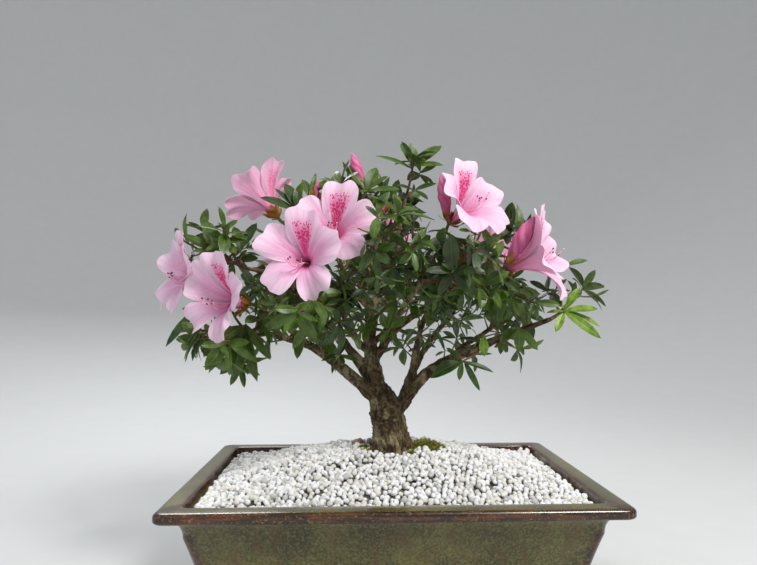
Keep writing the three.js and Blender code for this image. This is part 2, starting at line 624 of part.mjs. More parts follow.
// A stem from the bough, and shoots from along it, each with its whorl of leaves
function growMass(mass, random) {
  const bough = alongCurve(limbs.get(mass.bough), mass.share);
  const root = bough.point;
  const end = root.clone().lerp(mass.centre, STEM.end);
  const bend = root.clone().lerp(end, 0.5).add(v(0, 0, -STEM.sag * root.distanceTo(end)));
  const parts = [twig([root, bend, end], [Math.min(STEM.radius, bough.radius), SHOOT.radius], STEM)];
  const reach = mass.radius - LEAF.length * SHOOT.inset;
  const ribs = [];
  shootDirections(mass.centre.clone().sub(root).normalize(), SHOOT.count, random).forEach((axis, i) => {
    const start = root.clone().lerp(end, 1 - (SHOOT.startSpan * i) / SHOOT.count);
    const hub = SHOOT.reaches.map((share) => mass.centre.clone().addScaledVector(axis, reach * share))
      .find((p) => clearTwig(mass, start, p));
    if (!hub) return;
    const petioles = whorl(mass, hub, axis, ribs, random);
    const grown = petioles.filter(({ leaf }) => leaf);
    if (grown.length < SHOOT.fewest) return;
    ribs.push(...grown.map(({ leaf }) => [hub, leaf.tip]));
    parts.push(shoot(start, hub, axis, petioles));
  });
  return Manifold.union(parts).simplify(FUSE);
}

// A mass is cut clear of its bough and of the stalks that leave the same bough.
function foliage(mass, random) {
  const stalks = [...BLOOMS, ...BUDS].filter((flower) => flower.bough === mass.bough)
    .map(({ name }) => sweep(limbs.get(`${name}_stalk`), { ...STALK, grow: 2 * GAP }));
  const cut = (body, other) => body.subtract(other);
  return largest([grownBough(mass.bough), ...stalks].reduce(cut, growMass(mass, random)));
}

// Assembly
const random = seededRandom(SEED);
const finish = (color, roughness) => new THREE.MeshStandardMaterial({ color, roughness });
const finishes = {
  glaze: finish('#5d6350', 0.3), soil: finish('#4a3626', 0.95), pebble: finish('#dcdcd8', 0.8),
  moss: finish('#5a6b2c', 0.95), stone: finish('#7d6a52', 0.9), bark: finish('#54463a', 0.9),
  leaf: finish('#2f4a26', 0.45), petal: finish('#eeb2cb', 0.6),
};
const bonsai = new THREE.Group();
bonsai.name = 'azalea_bonsai';

function add(name, body, material) {
  const mesh = new THREE.Mesh(geometryOf(body), material);
  mesh.name = name;
  bonsai.add(mesh);
}

growLimbs(random);
for (const mass of MASSES) mass.centre = place(mass.at);
for (const flower of BLOOMS) flower.stalk = stalkPoints(flower, BLOOM.depth);
for (const flower of BUDS) flower.stalk = stalkPoints(flower, BUD.length);

const bed = pebbleBed(random);
const raisedBed = bed.translate([0, 0, GAP]);
const thickTrunk = trunk(GAP);
const seated = (body) => largest(body.subtract(raisedBed).subtract(thickTrunk));
add('pot', pot(), finishes.glaze);
add('soil', soil(), finishes.soil);
add('pebble_bed', bed, finishes.pebble);
add('moss', seated(lump(LUMPS.moss, random)), finishes.moss);
add('stone_chip', seated(lump(LUMPS.stone_chip, random)), finishes.stone);
add('trunk', trunk(), finishes.bark);

// Each bough is cut clear of the trunk and of the boughs before it.
LIMBS.forEach((bough, i) => {
  const earlier = [thickTrunk, ...LIMBS.slice(0, i).map((other) => boughBody(other, GAP))];
  const cut = earlier.reduce((body, other) => body.subtract(other), boughBody(bough));
  add(bough.name, largest(cut), finishes.bark);
});
for (const flower of BLOOMS) add(flower.name, bloom(flower), finishes.petal);
for (const flower of BUDS) add(flower.name, bud(flower), finishes.petal);
for (const { name, stalk } of [...BLOOMS, ...BUDS]) addLimb(`${name}_stalk`, stalk, STALK.radii);
for (const mass of MASSES) add(mass.name, foliage(mass, random), finishes.leaf);

export default bonsai;
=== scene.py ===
# %% [markdown]
# # An azalea bonsai in flower
#
# The plant is an old evergreen azalea, kept small in a glazed pot and dressed with white
# gravel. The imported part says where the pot, the trunk, each limb, each mass of foliage and
# each flower is. This lesson gives them their looks, one piece after another: glaze, bark,
# leaves, petals, stones and moss. Shapes are worked out in millimetres, as the part's source
# does, and turned into metres when a mesh is made.

# %% Load the frame
import math
import random

import bmesh
import bpy
import numpy as np
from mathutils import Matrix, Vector, noise
from mathutils.bvhtree import BVHTree
from mathutils.kdtree import KDTree


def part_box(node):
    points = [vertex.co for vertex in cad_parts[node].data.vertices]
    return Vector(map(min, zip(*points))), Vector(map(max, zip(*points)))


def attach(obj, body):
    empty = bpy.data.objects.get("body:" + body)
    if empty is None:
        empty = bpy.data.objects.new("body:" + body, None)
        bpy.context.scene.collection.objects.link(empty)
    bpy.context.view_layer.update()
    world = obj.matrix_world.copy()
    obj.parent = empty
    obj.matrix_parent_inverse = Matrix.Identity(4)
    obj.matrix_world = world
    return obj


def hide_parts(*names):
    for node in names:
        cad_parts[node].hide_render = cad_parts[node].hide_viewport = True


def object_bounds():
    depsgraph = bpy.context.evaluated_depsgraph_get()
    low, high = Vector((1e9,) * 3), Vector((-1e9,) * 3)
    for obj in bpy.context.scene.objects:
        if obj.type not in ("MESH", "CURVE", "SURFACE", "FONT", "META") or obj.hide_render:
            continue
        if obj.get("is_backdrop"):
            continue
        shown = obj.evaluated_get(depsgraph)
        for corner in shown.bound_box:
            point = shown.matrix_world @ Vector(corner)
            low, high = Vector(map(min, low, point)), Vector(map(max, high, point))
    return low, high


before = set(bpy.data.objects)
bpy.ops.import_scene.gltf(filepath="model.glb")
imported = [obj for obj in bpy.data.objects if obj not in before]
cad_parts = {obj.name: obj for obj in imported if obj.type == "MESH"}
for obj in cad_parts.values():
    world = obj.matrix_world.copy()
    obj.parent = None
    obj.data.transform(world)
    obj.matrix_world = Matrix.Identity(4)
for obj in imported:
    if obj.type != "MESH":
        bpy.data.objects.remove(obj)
cad_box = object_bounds()
MM = 0.001


def new_object(name, data):
    """An object in the scene that shows a mesh, or is a camera or a light."""
    thing = bpy.data.objects.new(name, data)
    bpy.context.scene.collection.objects.link(thing)
    return thing


print("CAD box in metres:", [[round(x, 4) for x in corner] for corner in cad_box])

# %% [markdown]
# The camera comes first, because a few sprigs are placed by where they show in the picture.
# It is a 28 mm lens on a 36 mm frame, half a metre in front of the pot's middle, level with
# the lower crown and tipped up a little. The pot's rim gave these numbers: only one place
# makes the rim's corners fall where they do.

# %% Set up the camera
IMAGE = (757, 565)
LENS, SENSOR = 28.0, 36.0
CAMERA_AT = np.array([-29.0, -530.0, 233.0])
YAW, PITCH = math.radians(2.1), math.radians(3.6)
FOCAL = LENS / SENSOR * IMAGE[0]

camera_data = bpy.data.cameras.new("camera")
camera_data.lens = LENS
camera_data.sensor_width = SENSOR
camera = new_object("camera", camera_data)
camera.location = CAMERA_AT * MM
camera.rotation_euler = (math.pi / 2 + PITCH, 0, -YAW)
bpy.context.scene.camera = camera


def at_pixel(x, y, depth):
    """The point that shows at a pixel of the picture, on the upright plane Y = depth."""
    forward = np.array([math.sin(YAW) * math.cos(PITCH), math.cos(YAW) * math.cos(PITCH), math.sin(PITCH)])
    right = np.array([math.cos(YAW), -math.sin(YAW), 0])
    up = np.cross(right, forward)
    ray = forward + right * (x - IMAGE[0] / 2) / FOCAL + up * (IMAGE[1] / 2 - y) / FOCAL
    return CAMERA_AT + ray * (depth - CAMERA_AT[1]) / ray[1]


print("The picture's middle looks at", at_pixel(IMAGE[0] / 2, IMAGE[1] / 2, 0).round(1), "mm")

# %% [markdown]
# A finish is a small web of nodes. Written as plain sums it is easier to read, so a socket is
# wrapped in a class that knows plus, minus, times and the rest. One method adds any other
# node: its settings first, and then the values or links of its sockets. The colour Mix node
# is asked for its sockets by number, because its colour sockets share their names with others.

# %% Write finishes as sums
MIX_SHARE, MIX_FIRST, MIX_SECOND, MIX_COLOUR = 0, 6, 7, 2


def tint(code):
    """A colour written as on a paint card, such as #a0b0c0, as linear light by the sRGB rule."""
    parts = [int(code[i : i + 2], 16) / 255 for i in (1, 3, 5)]
    return tuple(p / 12.92 if p < 0.04045 else ((p + 0.055) / 1.055) ** 2.4 for p in parts) + (1.0,)


class Link:
    """A node's output that joins in sums as a number would."""

    def __init__(self, finish, socket):
        self.finish, self.socket = finish, socket

    def _sum(self, operation, *values):
        return self.finish.node("ShaderNodeMath", {"operation": operation}, values)

    def __add__(self, other):
        return self._sum("ADD", self, other)

    def __sub__(self, other):
        return self._sum("SUBTRACT", self, other)

    def __rsub__(self, other):
        return self._sum("SUBTRACT", other, self)

    def __mul__(self, other):
        return self._sum("MULTIPLY", self, other)

    def __lt__(self, other):
        return self._sum("LESS_THAN", self, other)

    __radd__ = __add__

    def ramp(self, low, high):
        """0 below low, 1 above high and smooth between."""
        limits = {"Value": self, "From Min": low, "From Max": high}
        return self.finish.node("ShaderNodeMapRange", {"interpolation_type": "SMOOTHSTEP"}, limits)


class Finish:
    """A material on one Principled shader, with the numbers that are the same all over."""

    def __init__(self, name, **constants):
        self.material = bpy.data.materials.new(name)
        self.material.use_nodes = True
        self.tree = self.material.node_tree
        self.shader = self.tree.nodes["Principled BSDF"]
        for socket, value in constants.items():
            self.set(socket.replace("_", " "), value)

    def node(self, kind, settings=None, inputs=(), output=0):
        """Adds a node. Its inputs are a dict by socket name or a list by position."""
        node = self.tree.nodes.new(kind)
        for key, value in (settings or {}).items():
            setattr(node, key, value)
        for key, value in inputs.items() if isinstance(inputs, dict) else enumerate(inputs):
            self.feed(node.inputs[key], value)
        return Link(self, node.outputs[output])

    def feed(self, socket, value):
        """Gives a socket a link, a number or a colour by its code."""
        if isinstance(value, Link):
            self.tree.links.new(value.socket, socket)
        else:
            socket.default_value = tint(value) if isinstance(value, str) else value

    def set(self, socket, value):
        self.feed(self.shader.inputs[socket], value)

    def mix(self, share, first, second):
        """A colour between two, by a share that may be a link."""
        inputs = {MIX_SHARE: share, MIX_FIRST: first, MIX_SECOND: second}
        return self.node("ShaderNodeMix", {"data_type": "RGBA"}, inputs, MIX_COLOUR)

    def coats(self, colour, *coats):
        """A colour under coats of others, each given by its share and its colour."""
        for share, coat in coats:
            colour = self.mix(share, colour, coat)
        return colour

    def place(self):
        """Where a point lies on its own object, so that a pattern stays put on the piece."""
        return self.node("ShaderNodeTexCoord", output="Object")

    def value(self, name):
        """A number that the mesh carries at each of its points."""
        return self.node("ShaderNodeAttribute", {"attribute_name": name}, output="Fac")

    def noise(self, scale, detail, stretch=(1, 1, 1)):
        """Noise from 0 to 1 whose grains measure about 1/scale metres, stretched along an axis."""
        where = self.node("ShaderNodeMapping", None, {"Vector": self.place(), "Scale": stretch})
        return self.node("ShaderNodeTexNoise", None, {"Vector": where, "Scale": scale, "Detail": detail})

    def bump(self, height, depth_mm):
        """Small relief of the surface, as deep as depth_mm where height is 1."""
        inputs = {"Height": height, "Distance": depth_mm * MM}
        self.set("Normal", self.node("ShaderNodeBump", None, inputs))


print("Paint card #808080 as light:", [round(x, 3) for x in tint("#808080")])

# %% [markdown]
# A mesh is a list of points and a list of faces. Small things by the hundred, such as leaves
# or stones, are gathered on a pile and become one mesh at the end, because a few large meshes
# load and render faster than thousands of small ones. A face remembers which finish it takes.


# %% Gather shapes into meshes
SHARP = math.radians(75)


class Pile:
    """Shapes gathered into one mesh."""

    def __init__(self):
        self.points, self.faces, self.finishes, self.values, self.count = [], [], [], {}, 0

    def add(self, points, faces, finish=0, **values):
        """Adds a shape. Faces count from its own first point, and values hold one number a point."""
        self.points.append(points)
        self.faces += [[i + self.count for i in face] for face in faces]
        self.finishes += np.broadcast_to(finish, len(faces)).tolist()
        for key, numbers in values.items():
            self.values.setdefault(key, []).append(np.asarray(numbers, float).ravel())
        self.count += len(points)

    def cap(self, corners, finish=0):
        """Adds one face between points that are on the pile already."""
        self.faces.append(list(corners))
        self.finishes.append(finish)

    def mesh(self, name):
        """The pile as one mesh in metres. A point that is not a number would spoil its faces."""
        points = np.vstack(self.points) * MM
        assert np.isfinite(points).all(), f"{name} holds a point that is not a number"
        mesh = bpy.data.meshes.new(name)
        mesh.from_pydata(points.tolist(), [], self.faces)
        mesh.polygons.foreach_set("material_index", np.array(self.finishes, np.int32))
        mesh.polygons.foreach_set("use_smooth", np.ones(len(self.faces), bool))
        for key, numbers in self.values.items():
            mesh.attributes.new(key, "FLOAT", "POINT").data.foreach_set("value", np.concatenate(numbers))
        mesh.set_sharp_from_angle(angle=SHARP)
        return mesh


def make_piece(name, mesh, finishes, replaces=()):
    """An object on the plant's one body, with its finishes, in place of the part's own nodes."""
    piece = new_object(name, mesh)
    for finish in finishes:
        mesh.materials.append(finish.material)
    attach(piece, "root")
    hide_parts(*replaces)
    triangles = sum(len(face.vertices) - 2 for face in mesh.polygons)
    print(f"{name}: {triangles} triangles")
    return piece


def apply_modifier(piece, kind, **settings):
    """Runs one modifier and keeps its result as the piece's mesh."""
    modifier = piece.modifiers.new(kind, kind)
    for key, value in settings.items():
        setattr(modifier, key, value)
    changed = piece.evaluated_get(bpy.context.evaluated_depsgraph_get())
    mesh = bpy.data.meshes.new_from_object(changed)
    piece.modifiers.clear()
    piece.data = mesh


def grid_faces(rows, columns, closed=False):
    """The quads between rows of points, closed round into a tube or left open."""
    i, j = np.meshgrid(np.arange(rows - 1), np.arange(columns if closed else columns - 1), indexing="ij")
    k = (j + 1) % columns
    near, far = i * columns, (i + 1) * columns
    return np.stack([near + j, near + k, far + k, far + j], -1).reshape(-1, 4)


def skin_faces(rows, columns):
    """The quads of two grids of points, one over the other, with a wall round their edge."""
    quads, half = grid_faces(rows, columns), rows * columns
    index = np.arange(half).reshape(rows, columns)
    border = np.concatenate([index[0, :-1], index[:-1, -1], index[-1, :0:-1], index[:0:-1, 0]])
    following = np.roll(border, -1)
    wall = np.stack([border, following, following + half, border + half], -1)
    return np.vstack([quads[:, ::-1], quads + half, wall])


print("A tube of 3 rings of 4 points has", len(grid_faces(3, 4, closed=True)), "faces")

# %% [markdown]
# A bonsai pot is pressed or cast stoneware. Its section is the same all round: corner feet, a
# wall that leans out, a hollow neck and a thick rounded lip. So the wall is lofted through
# rounded rectangles, one for each point of the section. The glaze runs thin on edges and
# corners while it melts and turns rusty there, so each point also carries a number for wear and
# shade: about 0 on the wall, 1 and more on bare edges, and less than 0 in the neck and inside,
# where the colour goes dark, partly as glaze that gathers there and partly as painted shade.

# %% The pot's section
POT = dict(length=340, depth=230, height=100, corner=7, lip=8, neck_inset=16.5, neck_drop=23,
           lip_overhang=7, base_inset=33, foot_inset=31, foot_width=11, foot=9, underside=12,
           floor=20, inner_top=19, inner_floor=40, rim_width=16.5, drain_radius=10, drain_offset=70,
           bulge=1.6, lip_round=3.4, under_round=2.6, top_round=3.2, crown=0.25, edge_round=2)
# Below 0 the number darkens the glaze: pooled glaze and painted shade in the neck and inside.
WEAR_AND_SHADE = dict(foot=0.75, wall_foot=0.45, wall=0.12, neck=-0.3, neck_top=-0.95, lip=0.8, lip_edge=1.1,
            lip_round=0.35, rim=0.0, inner_edge=1.5, inner_low=0.8, inner_lip=0.3, inside=-1.0)
ARCH = dict(long=178, short=92, height=6, shoulder=9)
CORNER_STEPS = 7
SIDE_STEPS = (0.02, 0.1, 0.3, 0.5, 0.7, 0.9, 0.98)


def arc(centre, radii, start, end, steps):
    """Points of an ellipse's arc in the section: inset across, height up, with angles in degrees."""
    angles = np.radians(np.linspace(start, end, steps))
    return [(centre[0] + radii[0] * math.cos(a), centre[1] + radii[1] * math.sin(a)) for a in angles]


def outer_rows():
    """The section's rows of inset, height and wear up to the neck; below 0 the number is pooled glaze and
    painted shade.
    """
    p = POT
    inner_foot = p["foot_inset"] + p["foot_width"]
    foot = [(inner_foot + 1, p["underside"]), (inner_foot, 1.0), (inner_foot - 1, 0),
            (p["foot_inset"] + 1, 0), (p["foot_inset"], 1.0), (p["foot_inset"], p["foot"] - 0.5),
            (p["base_inset"], p["foot"] + 2)]
    rows = [(x, z, WEAR_AND_SHADE["foot"]) for x, z in foot]
    wall_foot, neck_foot = p["foot"] + 2, p["height"] - p["neck_drop"]
    for t in np.linspace(0.04, 0.96, 12):
        x = p["base_inset"] + (p["neck_inset"] - p["base_inset"]) * t + p["bulge"] * math.sin(math.pi * t)
        rows.append((x, wall_foot + (neck_foot - wall_foot) * t, WEAR_AND_SHADE["wall" if t > 0.1 else "wall_foot"]))
    neck_height = p["height"] - p["lip"] - neck_foot - 0.5
    neck_radii = (p["neck_inset"] - p["lip_overhang"], neck_height)
    deeper = (WEAR_AND_SHADE["neck_top"] - WEAR_AND_SHADE["neck"]) / neck_height
    neck = arc((p["lip_overhang"], neck_foot), neck_radii, 0, 90, 8)
    return rows + [(x, z, WEAR_AND_SHADE["neck"] + deeper * (z - neck_foot)) for x, z in neck]


def lip_rows():
    """The section's rows round the lip, over the rim and down to the inner floor."""
    p, w = POT, WEAR_AND_SHADE
    top, lip_base, rim, r = p["height"], p["height"] - p["lip"], p["rim_width"], p["lip_round"]
    under = arc((r, lip_base + p["under_round"]), (r, p["under_round"]), 250, 180, 6)
    over = arc((r, top - p["top_round"]), (r, p["top_round"]), 175, 95, 7)
    flat = [(x, top + p["crown"] * math.sin(math.pi * (x - 4) / (rim - 6)))
            for x in np.linspace(5, rim - 3, 5)]
    edge = arc((rim - 1.8, top - p["edge_round"]), (1.8, p["edge_round"]), 80, 0, 5)
    rows = [(x, z, w["lip_edge"] if x < 2 else w["lip"]) for x, z in under]
    rows += [(x, z, w["lip_round"] if x > 2 else w["lip_edge"]) for x, z in over]
    rows += [(x, z, w["rim"]) for x, z in flat]
    rows += [(x, z, w["inner_low"] if z < top - 0.6 else w["inner_edge"]) for x, z in edge]
    wall = p["inner_top"]
    inside = [(wall, lip_base - 1), (wall + 1.4, top - 16), (p["inner_floor"], p["floor"])]
    rows.append((wall - 1, lip_base + 1, w["inner_lip"]))
    return rows + [(x, z, w["inside"]) for x, z in inside]


def rectangle_ring(inset, height):
    """A rounded rectangle of the pot's outline, taken in by the inset."""
    half_x, half_y, r = POT["length"] / 2 - inset, POT["depth"] / 2 - inset, POT["corner"]
    points = []
    for sx, sy, start in ((1, 1, 0), (-1, 1, 90), (-1, -1, 180), (1, -1, 270)):
        centre_x, centre_y = sx * (half_x - r), sy * (half_y - r)
        for angle in np.radians(start + np.linspace(0, 90, CORNER_STEPS)):
            points.append((centre_x + r * math.cos(angle), centre_y + r * math.sin(angle), height))
        x, y, _ = points[-1]
        run_x, run_y = (-2 * centre_x, 0) if sx * sy > 0 else (0, -2 * centre_y)
        points += [(x + run_x * t, y + run_y * t, height) for t in SIDE_STEPS]
    return np.array(points)


section = np.array(outer_rows() + lip_rows())
print("The section has", len(section), "points, and the outline", len(rectangle_ring(0, 0)))

# %% [markdown]
# The arches between the feet and the two drain holes are cut out of the finished wall, as a
# potter cuts them from the leather-hard clay. A Boolean modifier does the cutting.


# %% Build the pot
CORNER_WEAR, NEAR_CORNER = 0.55, 0.6


def prism(low, high):
    """A closed solid between two outlines with as many points each."""
    count = len(low)
    ends = [list(range(count))[::-1], list(range(count, 2 * count))]
    return np.vstack([low, high]), grid_faces(2, count, closed=True).tolist() + ends


def arch_cutter(width, reach, along_x):
    """A low arch with rounded shoulders, pushed right through the base."""
    half, shoulder = width / 2, 2 * ARCH["shoulder"]
    ease = np.linspace(0, math.pi / 2, 8)
    left = [(-half + shoulder * math.sin(a) ** 2, ARCH["height"] * math.sin(a)) for a in ease]
    outline = [(-half, -2)] + left + [(-x, z) for x, z in left[::-1]] + [(half, -2)]
    ends = (-reach, reach) if along_x else (reach, -reach)
    return prism(*([(x, y, z) if along_x else (y, x, z) for x, z in outline] for y in ends))


def drain_cutter(side):
    """A round hole through the floor, on one side of the middle."""
    angles = np.linspace(0, 2 * math.pi, 32, endpoint=False)
    ring = [(side * POT["drain_offset"] + POT["drain_radius"] * math.cos(a),
             POT["drain_radius"] * math.sin(a)) for a in angles]
    return prism(*([(x, y, z) for x, y in ring] for z in (0, 2 * POT["floor"])))


def cut(piece, points, faces):
    """Cuts a closed shape out of a piece."""
    pile = Pile()
    pile.add(points, faces)
    cutter = new_object("cutter", pile.mesh("cutter"))
    apply_modifier(piece, "BOOLEAN", object=cutter, operation="DIFFERENCE", solver="MANIFOLD")
    bpy.data.objects.remove(cutter)


def pot_mesh():
    """The wall through all the rings, closed by a face at each end of the section."""
    rings = [rectangle_ring(inset, height) for inset, height, _ in section]
    across = len(rings[0])
    flat_side = np.r_[NEAR_CORNER, np.zeros(len(SIDE_STEPS) - 2), NEAR_CORNER]
    at_corner = np.tile(np.r_[np.ones(CORNER_STEPS), flat_side], 4)
    section_wear = section[:, [2]]
    wear = np.maximum(section_wear, CORNER_WEAR * at_corner * (section_wear > -0.5))
    pile = Pile()
    pile.add(np.vstack(rings), grid_faces(len(rings), across, closed=True), 0, wear=wear)
    pile.cap(list(range(across))[::-1])
    pile.cap(range((len(rings) - 1) * across, len(rings) * across))
    return pile.mesh("pot")


print("An arch is cut by", len(arch_cutter(ARCH["long"], POT["depth"], True)[0]), "points")

# %% [markdown]
# The glaze is olive, with fine light and dark mottling and brown streaks. In the neck and
# inside the lip it goes darker, partly as glaze that pools there and partly as painted shade.
# Along the lip, the feet and the corners it burns to a dark rusty brown with tan flecks. Noise
# moves the edge of the rust, so that the brown line along the lip is never quite straight, and a
# thin clear coat gives the wet shine.

# %% Mix the glaze
glaze = Finish("olive_glaze", Coat_Weight=0.35, Coat_Roughness=0.08, Specular_IOR_Level=0.45)
clouds, speckle, mottle = glaze.noise(26, 5), glaze.noise(420, 2), glaze.noise(560, 7)
streaks, lines = glaze.noise(110, 4, stretch=(1, 1, 0.2)), glaze.noise(380, 3, stretch=(0.15, 0.15, 1))
wear = glaze.value("wear") + (clouds - 0.5) * 0.5 + (streaks - 0.5) * 0.3
body = glaze.coats(
    glaze.mix(clouds.ramp(0.3, 0.7), "#38370f", "#625e2a"),
    (mottle.ramp(0.42, 0.72) * 0.5, "#8c8658"),
    ((1 - mottle).ramp(0.46, 0.72) * 0.5, "#211f0c"),
    ((1 - streaks).ramp(0.45, 0.72) * 0.6, "#5a3f22"),
    # Painted shade, partly pooled glaze: the neck and the inside, below 0, go dark.
    ((wear * -1).ramp(0.2, 0.9), "#25231b"),
)
rust = glaze.coats(
    glaze.mix(lines.ramp(0.4, 0.7), "#27150c", "#563219"),
    (mottle.ramp(0.54, 0.7) * 0.6, "#8d7046"),
    ((wear - 1).ramp(0.3, 0.9), "#a08052"),
)
colour = glaze.mix(wear.ramp(0.3, 0.6), body, rust)
glaze.set("Base Color", glaze.mix(speckle.ramp(0.6, 0.75) * 0.3, colour, "#1f1c15"))
glaze.set("Roughness", 0.16 + clouds * 0.16)
glaze.bump(clouds * 0.7 + speckle * 0.1, 0.5)

pot = make_piece("pot_glazed", pot_mesh(), [glaze], ["pot"])
cut(pot, *arch_cutter(ARCH["long"], POT["depth"], along_x=True))
cut(pot, *arch_cutter(ARCH["short"], POT["length"], along_x=False))
for side in (-1, 1):
    cut(pot, *drain_cutter(side))
pot.data.set_sharp_from_angle(angle=SHARP)
print("Faces of the pot after cutting:", len(pot.data.polygons))

# %% [markdown]
# The trunk and the limbs follow the source's own rule, so its tables are repeated here. A limb
# leaves its parent a share of the way along, and runs to its tip through two points that are
# bowed to the side and a little crooked. The crookedness comes from the same small random
# generator with the same seed, drawn in the same order, so the curves are the same curves.

# %% Repeat the limbs' rule
SEED = 24
TRUNK = [(1, -2, 110), (1, -2, 121), (0, -1, 139), (-4, 0, 155), (-11, 0, 173)]
TRUNK_RADII = [19, 17.5, 14.7, 14.4, 9]
GROUND = 119.5
BENDS, CROOKED, TAPER = (0.3, 0.65), 0.03, 0.8
LIMBS = [
    # name, parent, share, tip (bearing, reach, height), bow, radii at the start and tip
    ("bough_leader", "trunk", 0.96, (37, 10, 308), (-13, -2, 0), (8, 2.8)),
    ("bough_right_low", "trunk", 0.55, (354, 142, 233), (-8, -2, 14), (7, 2)),
    ("bough_left_low", "trunk", 0.8, (193, 107, 221), (2, 2, 8), (6.6, 2.4)),
    ("bough_right_up", "bough_right_low", 0.2, (5, 44, 258), (-4, 1, 2), (3.6, 2)),
    ("bough_left_up", "bough_leader", 0.12, (179, 112, 276), (2, 2, 3), (3.4, 2)),
    ("bough_centre_right", "bough_leader", 0.2, (350, 77, 276), (-6, 2, 4), (4, 2.1)),
    ("bough_front_left", "bough_leader", 0.26, (224, 66, 256), (-2, -6, -4), (3.4, 2)),
    ("bough_front_right", "bough_leader", 0.34, (295, 57, 264), (0, -7, -4), (3.2, 2)),
    ("bough_back_left", "trunk", 0.9, (141, 98, 243), (3, 4, 6), (5, 2.2)),
    ("bough_back_right", "bough_right_low", 0.1, (45, 99, 240), (-4, 8, 6), (4.4, 2.2)),
    ("bough_back", "bough_leader", 0.24, (96, 74, 270), (0, 8, -4), (3.6, 2)),
    ("bough_top_left", "bough_leader", 0.56, (176, 52, 306), (-6, 2, -4), (3, 2)),
    ("bough_right_top", "bough_leader", 0.6, (0, 62, 300), (6, -2, -6), (3, 2)),
    ("bough_right_back", "bough_right_low", 0.48, (17, 117, 233), (-2, 8, 0), (3, 1.9)),
]


def source_random(seed):
    """The source's generator of numbers from 0 to 1, in 32-bit arithmetic."""
    state = seed
    while True:
        state = (state + 0x6D2B79F5) & 0xFFFFFFFF
        t = ((state ^ (state >> 15)) * (1 | state)) & 0xFFFFFFFF
        t = ((t + (((t ^ (t >> 7)) * (61 | t)) & 0xFFFFFFFF)) & 0xFFFFFFFF) ^ t
        yield ((t ^ (t >> 14)) & 0xFFFFFFFF) / 2**32


def place(bearing, reach, height):
    """A point by its bearing round the trunk, its reach and its height."""
    angle = math.radians(bearing)
    return np.array([reach * math.cos(angle), reach * math.sin(angle), height])


def direction(bearing, tilt):
    """A unit vector by its bearing and its tilt above the level."""
    return place(bearing, math.cos(math.radians(tilt)), math.sin(math.radians(tilt)))


def unit(vector):
    return vector / np.linalg.norm(vector)


def around(axis, hint, angle):
    """The direction square to an axis and turned about it, from the side of a hint."""
    side = unit(np.cross(axis, hint))
    return side * math.cos(angle) + np.cross(axis, side) * math.sin(angle)


def curve_point(points, share):
    """A point of the smooth curve through points, at a share of the way along."""
    spans = len(points) - 1
    k = min(int(share * spans), spans - 1)
    t = share * spans - k
    before = points[k - 1] if k else 2 * points[0] - points[1]
    after = points[k + 2] if k + 2 <= spans else 2 * points[-1] - points[-2]
    a, b, c = (np.linalg.norm(q - p) ** 0.5 for p, q in
               ((before, points[k]), (points[k], points[k + 1]), (points[k + 1], after)))
    start, end = points[k], points[k + 1]
    leave = ((start - before) / a - (end - before) / (a + b) + (end - start) / b) * b
    arrive = ((end - start) / b - (after - start) / (b + c) + (after - end) / c) * b
    return ((2 * t**3 - 3 * t**2 + 1) * start + (t**3 - 2 * t**2 + t) * leave
            + (3 * t**2 - 2 * t**3) * end + (t**3 - t**2) * arrive)


def along(limb, share):
    """The point and the radius at a share of the way along a limb."""
    points, radii = limb
    return curve_point(points, share), float(np.interp(share * (len(radii) - 1), range(len(radii)), radii))


limbs = {"trunk": (np.array(TRUNK, float), TRUNK_RADII)}
draws = source_random(SEED)
for name, parent, share, tip, bow, radii in LIMBS:
    start, end = along(limbs[parent], share)[0], place(*tip)
    crooked = 2 * CROOKED * np.linalg.norm(end - start)
    middle = [start + (end - start) * t + np.array(bow) * 4 * t * (1 - t)
              + crooked * (np.array([next(draws) for _ in range(3)]) - 0.5) for t in BENDS]
    thins = [radii[0] + (radii[1] - radii[0]) * t**TAPER for t in BENDS]
    limbs[name] = (np.array([start, *middle, end]), [radii[0], *thins, radii[1]])
for name in ("bough_leader", "bough_right_low"):
    _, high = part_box(name)
    print(name, "ends at", limbs[name][0][-1].round(1), "of the part's", [round(x / MM, 1) for x in high])

# %% [markdown]
# A limb is a tube: rings of points along its curve. Each ring is turned so that it never
# twists about the curve, by taking the last ring's side direction and making it square to the
# new tangent.


# %% Sweep tubes
def sweep(limb, sides, steps, swell=None):
    """Rings of points along a limb, and the faces between them with a cap at each end."""
    centres, radii = zip(*(along(limb, k / steps) for k in range(steps + 1)))
    centres = np.array(centres)
    tangents = np.gradient(centres, axis=0)
    normal = np.array([0.3, 1.0, 0.2])
    angles = np.linspace(0, 2 * math.pi, sides, endpoint=False)
    rings = []
    for centre, radius, tangent in zip(centres, radii, tangents):
        tangent = unit(tangent)
        normal = unit(normal - tangent * normal.dot(tangent))
        side = np.cross(tangent, normal)
        r = radius * (swell(angles, centre[2]) if swell else np.ones(sides))
        rings.append(centre + np.outer(r * np.cos(angles), normal) + np.outer(r * np.sin(angles), side))
    return np.vstack(rings), grid_faces(steps + 1, sides, closed=True)


def add_tube(pile, limb, sides, steps, finish=0, swell=None):
    """Adds a tube along a limb to a pile, closed at both ends."""
    points, faces = sweep(limb, sides, steps, swell)
    first = pile.count
    pile.add(points, faces, finish)
    pile.cap(range(first + sides - 1, first - 1, -1), finish)
    pile.cap(range(pile.count - sides, pile.count), finish)


# %% [markdown]
# The old wood is one living skin: where a limb leaves the trunk the bark flows from one into
# the other. So all the tubes are wrapped in a fine grid of small cubes and skinned again,
# which rounds the forks. Then each point is pushed in or out: broad swellings, long furrows
# that follow the limb, and small flakes. Noise that is squeezed along the limb makes furrows.

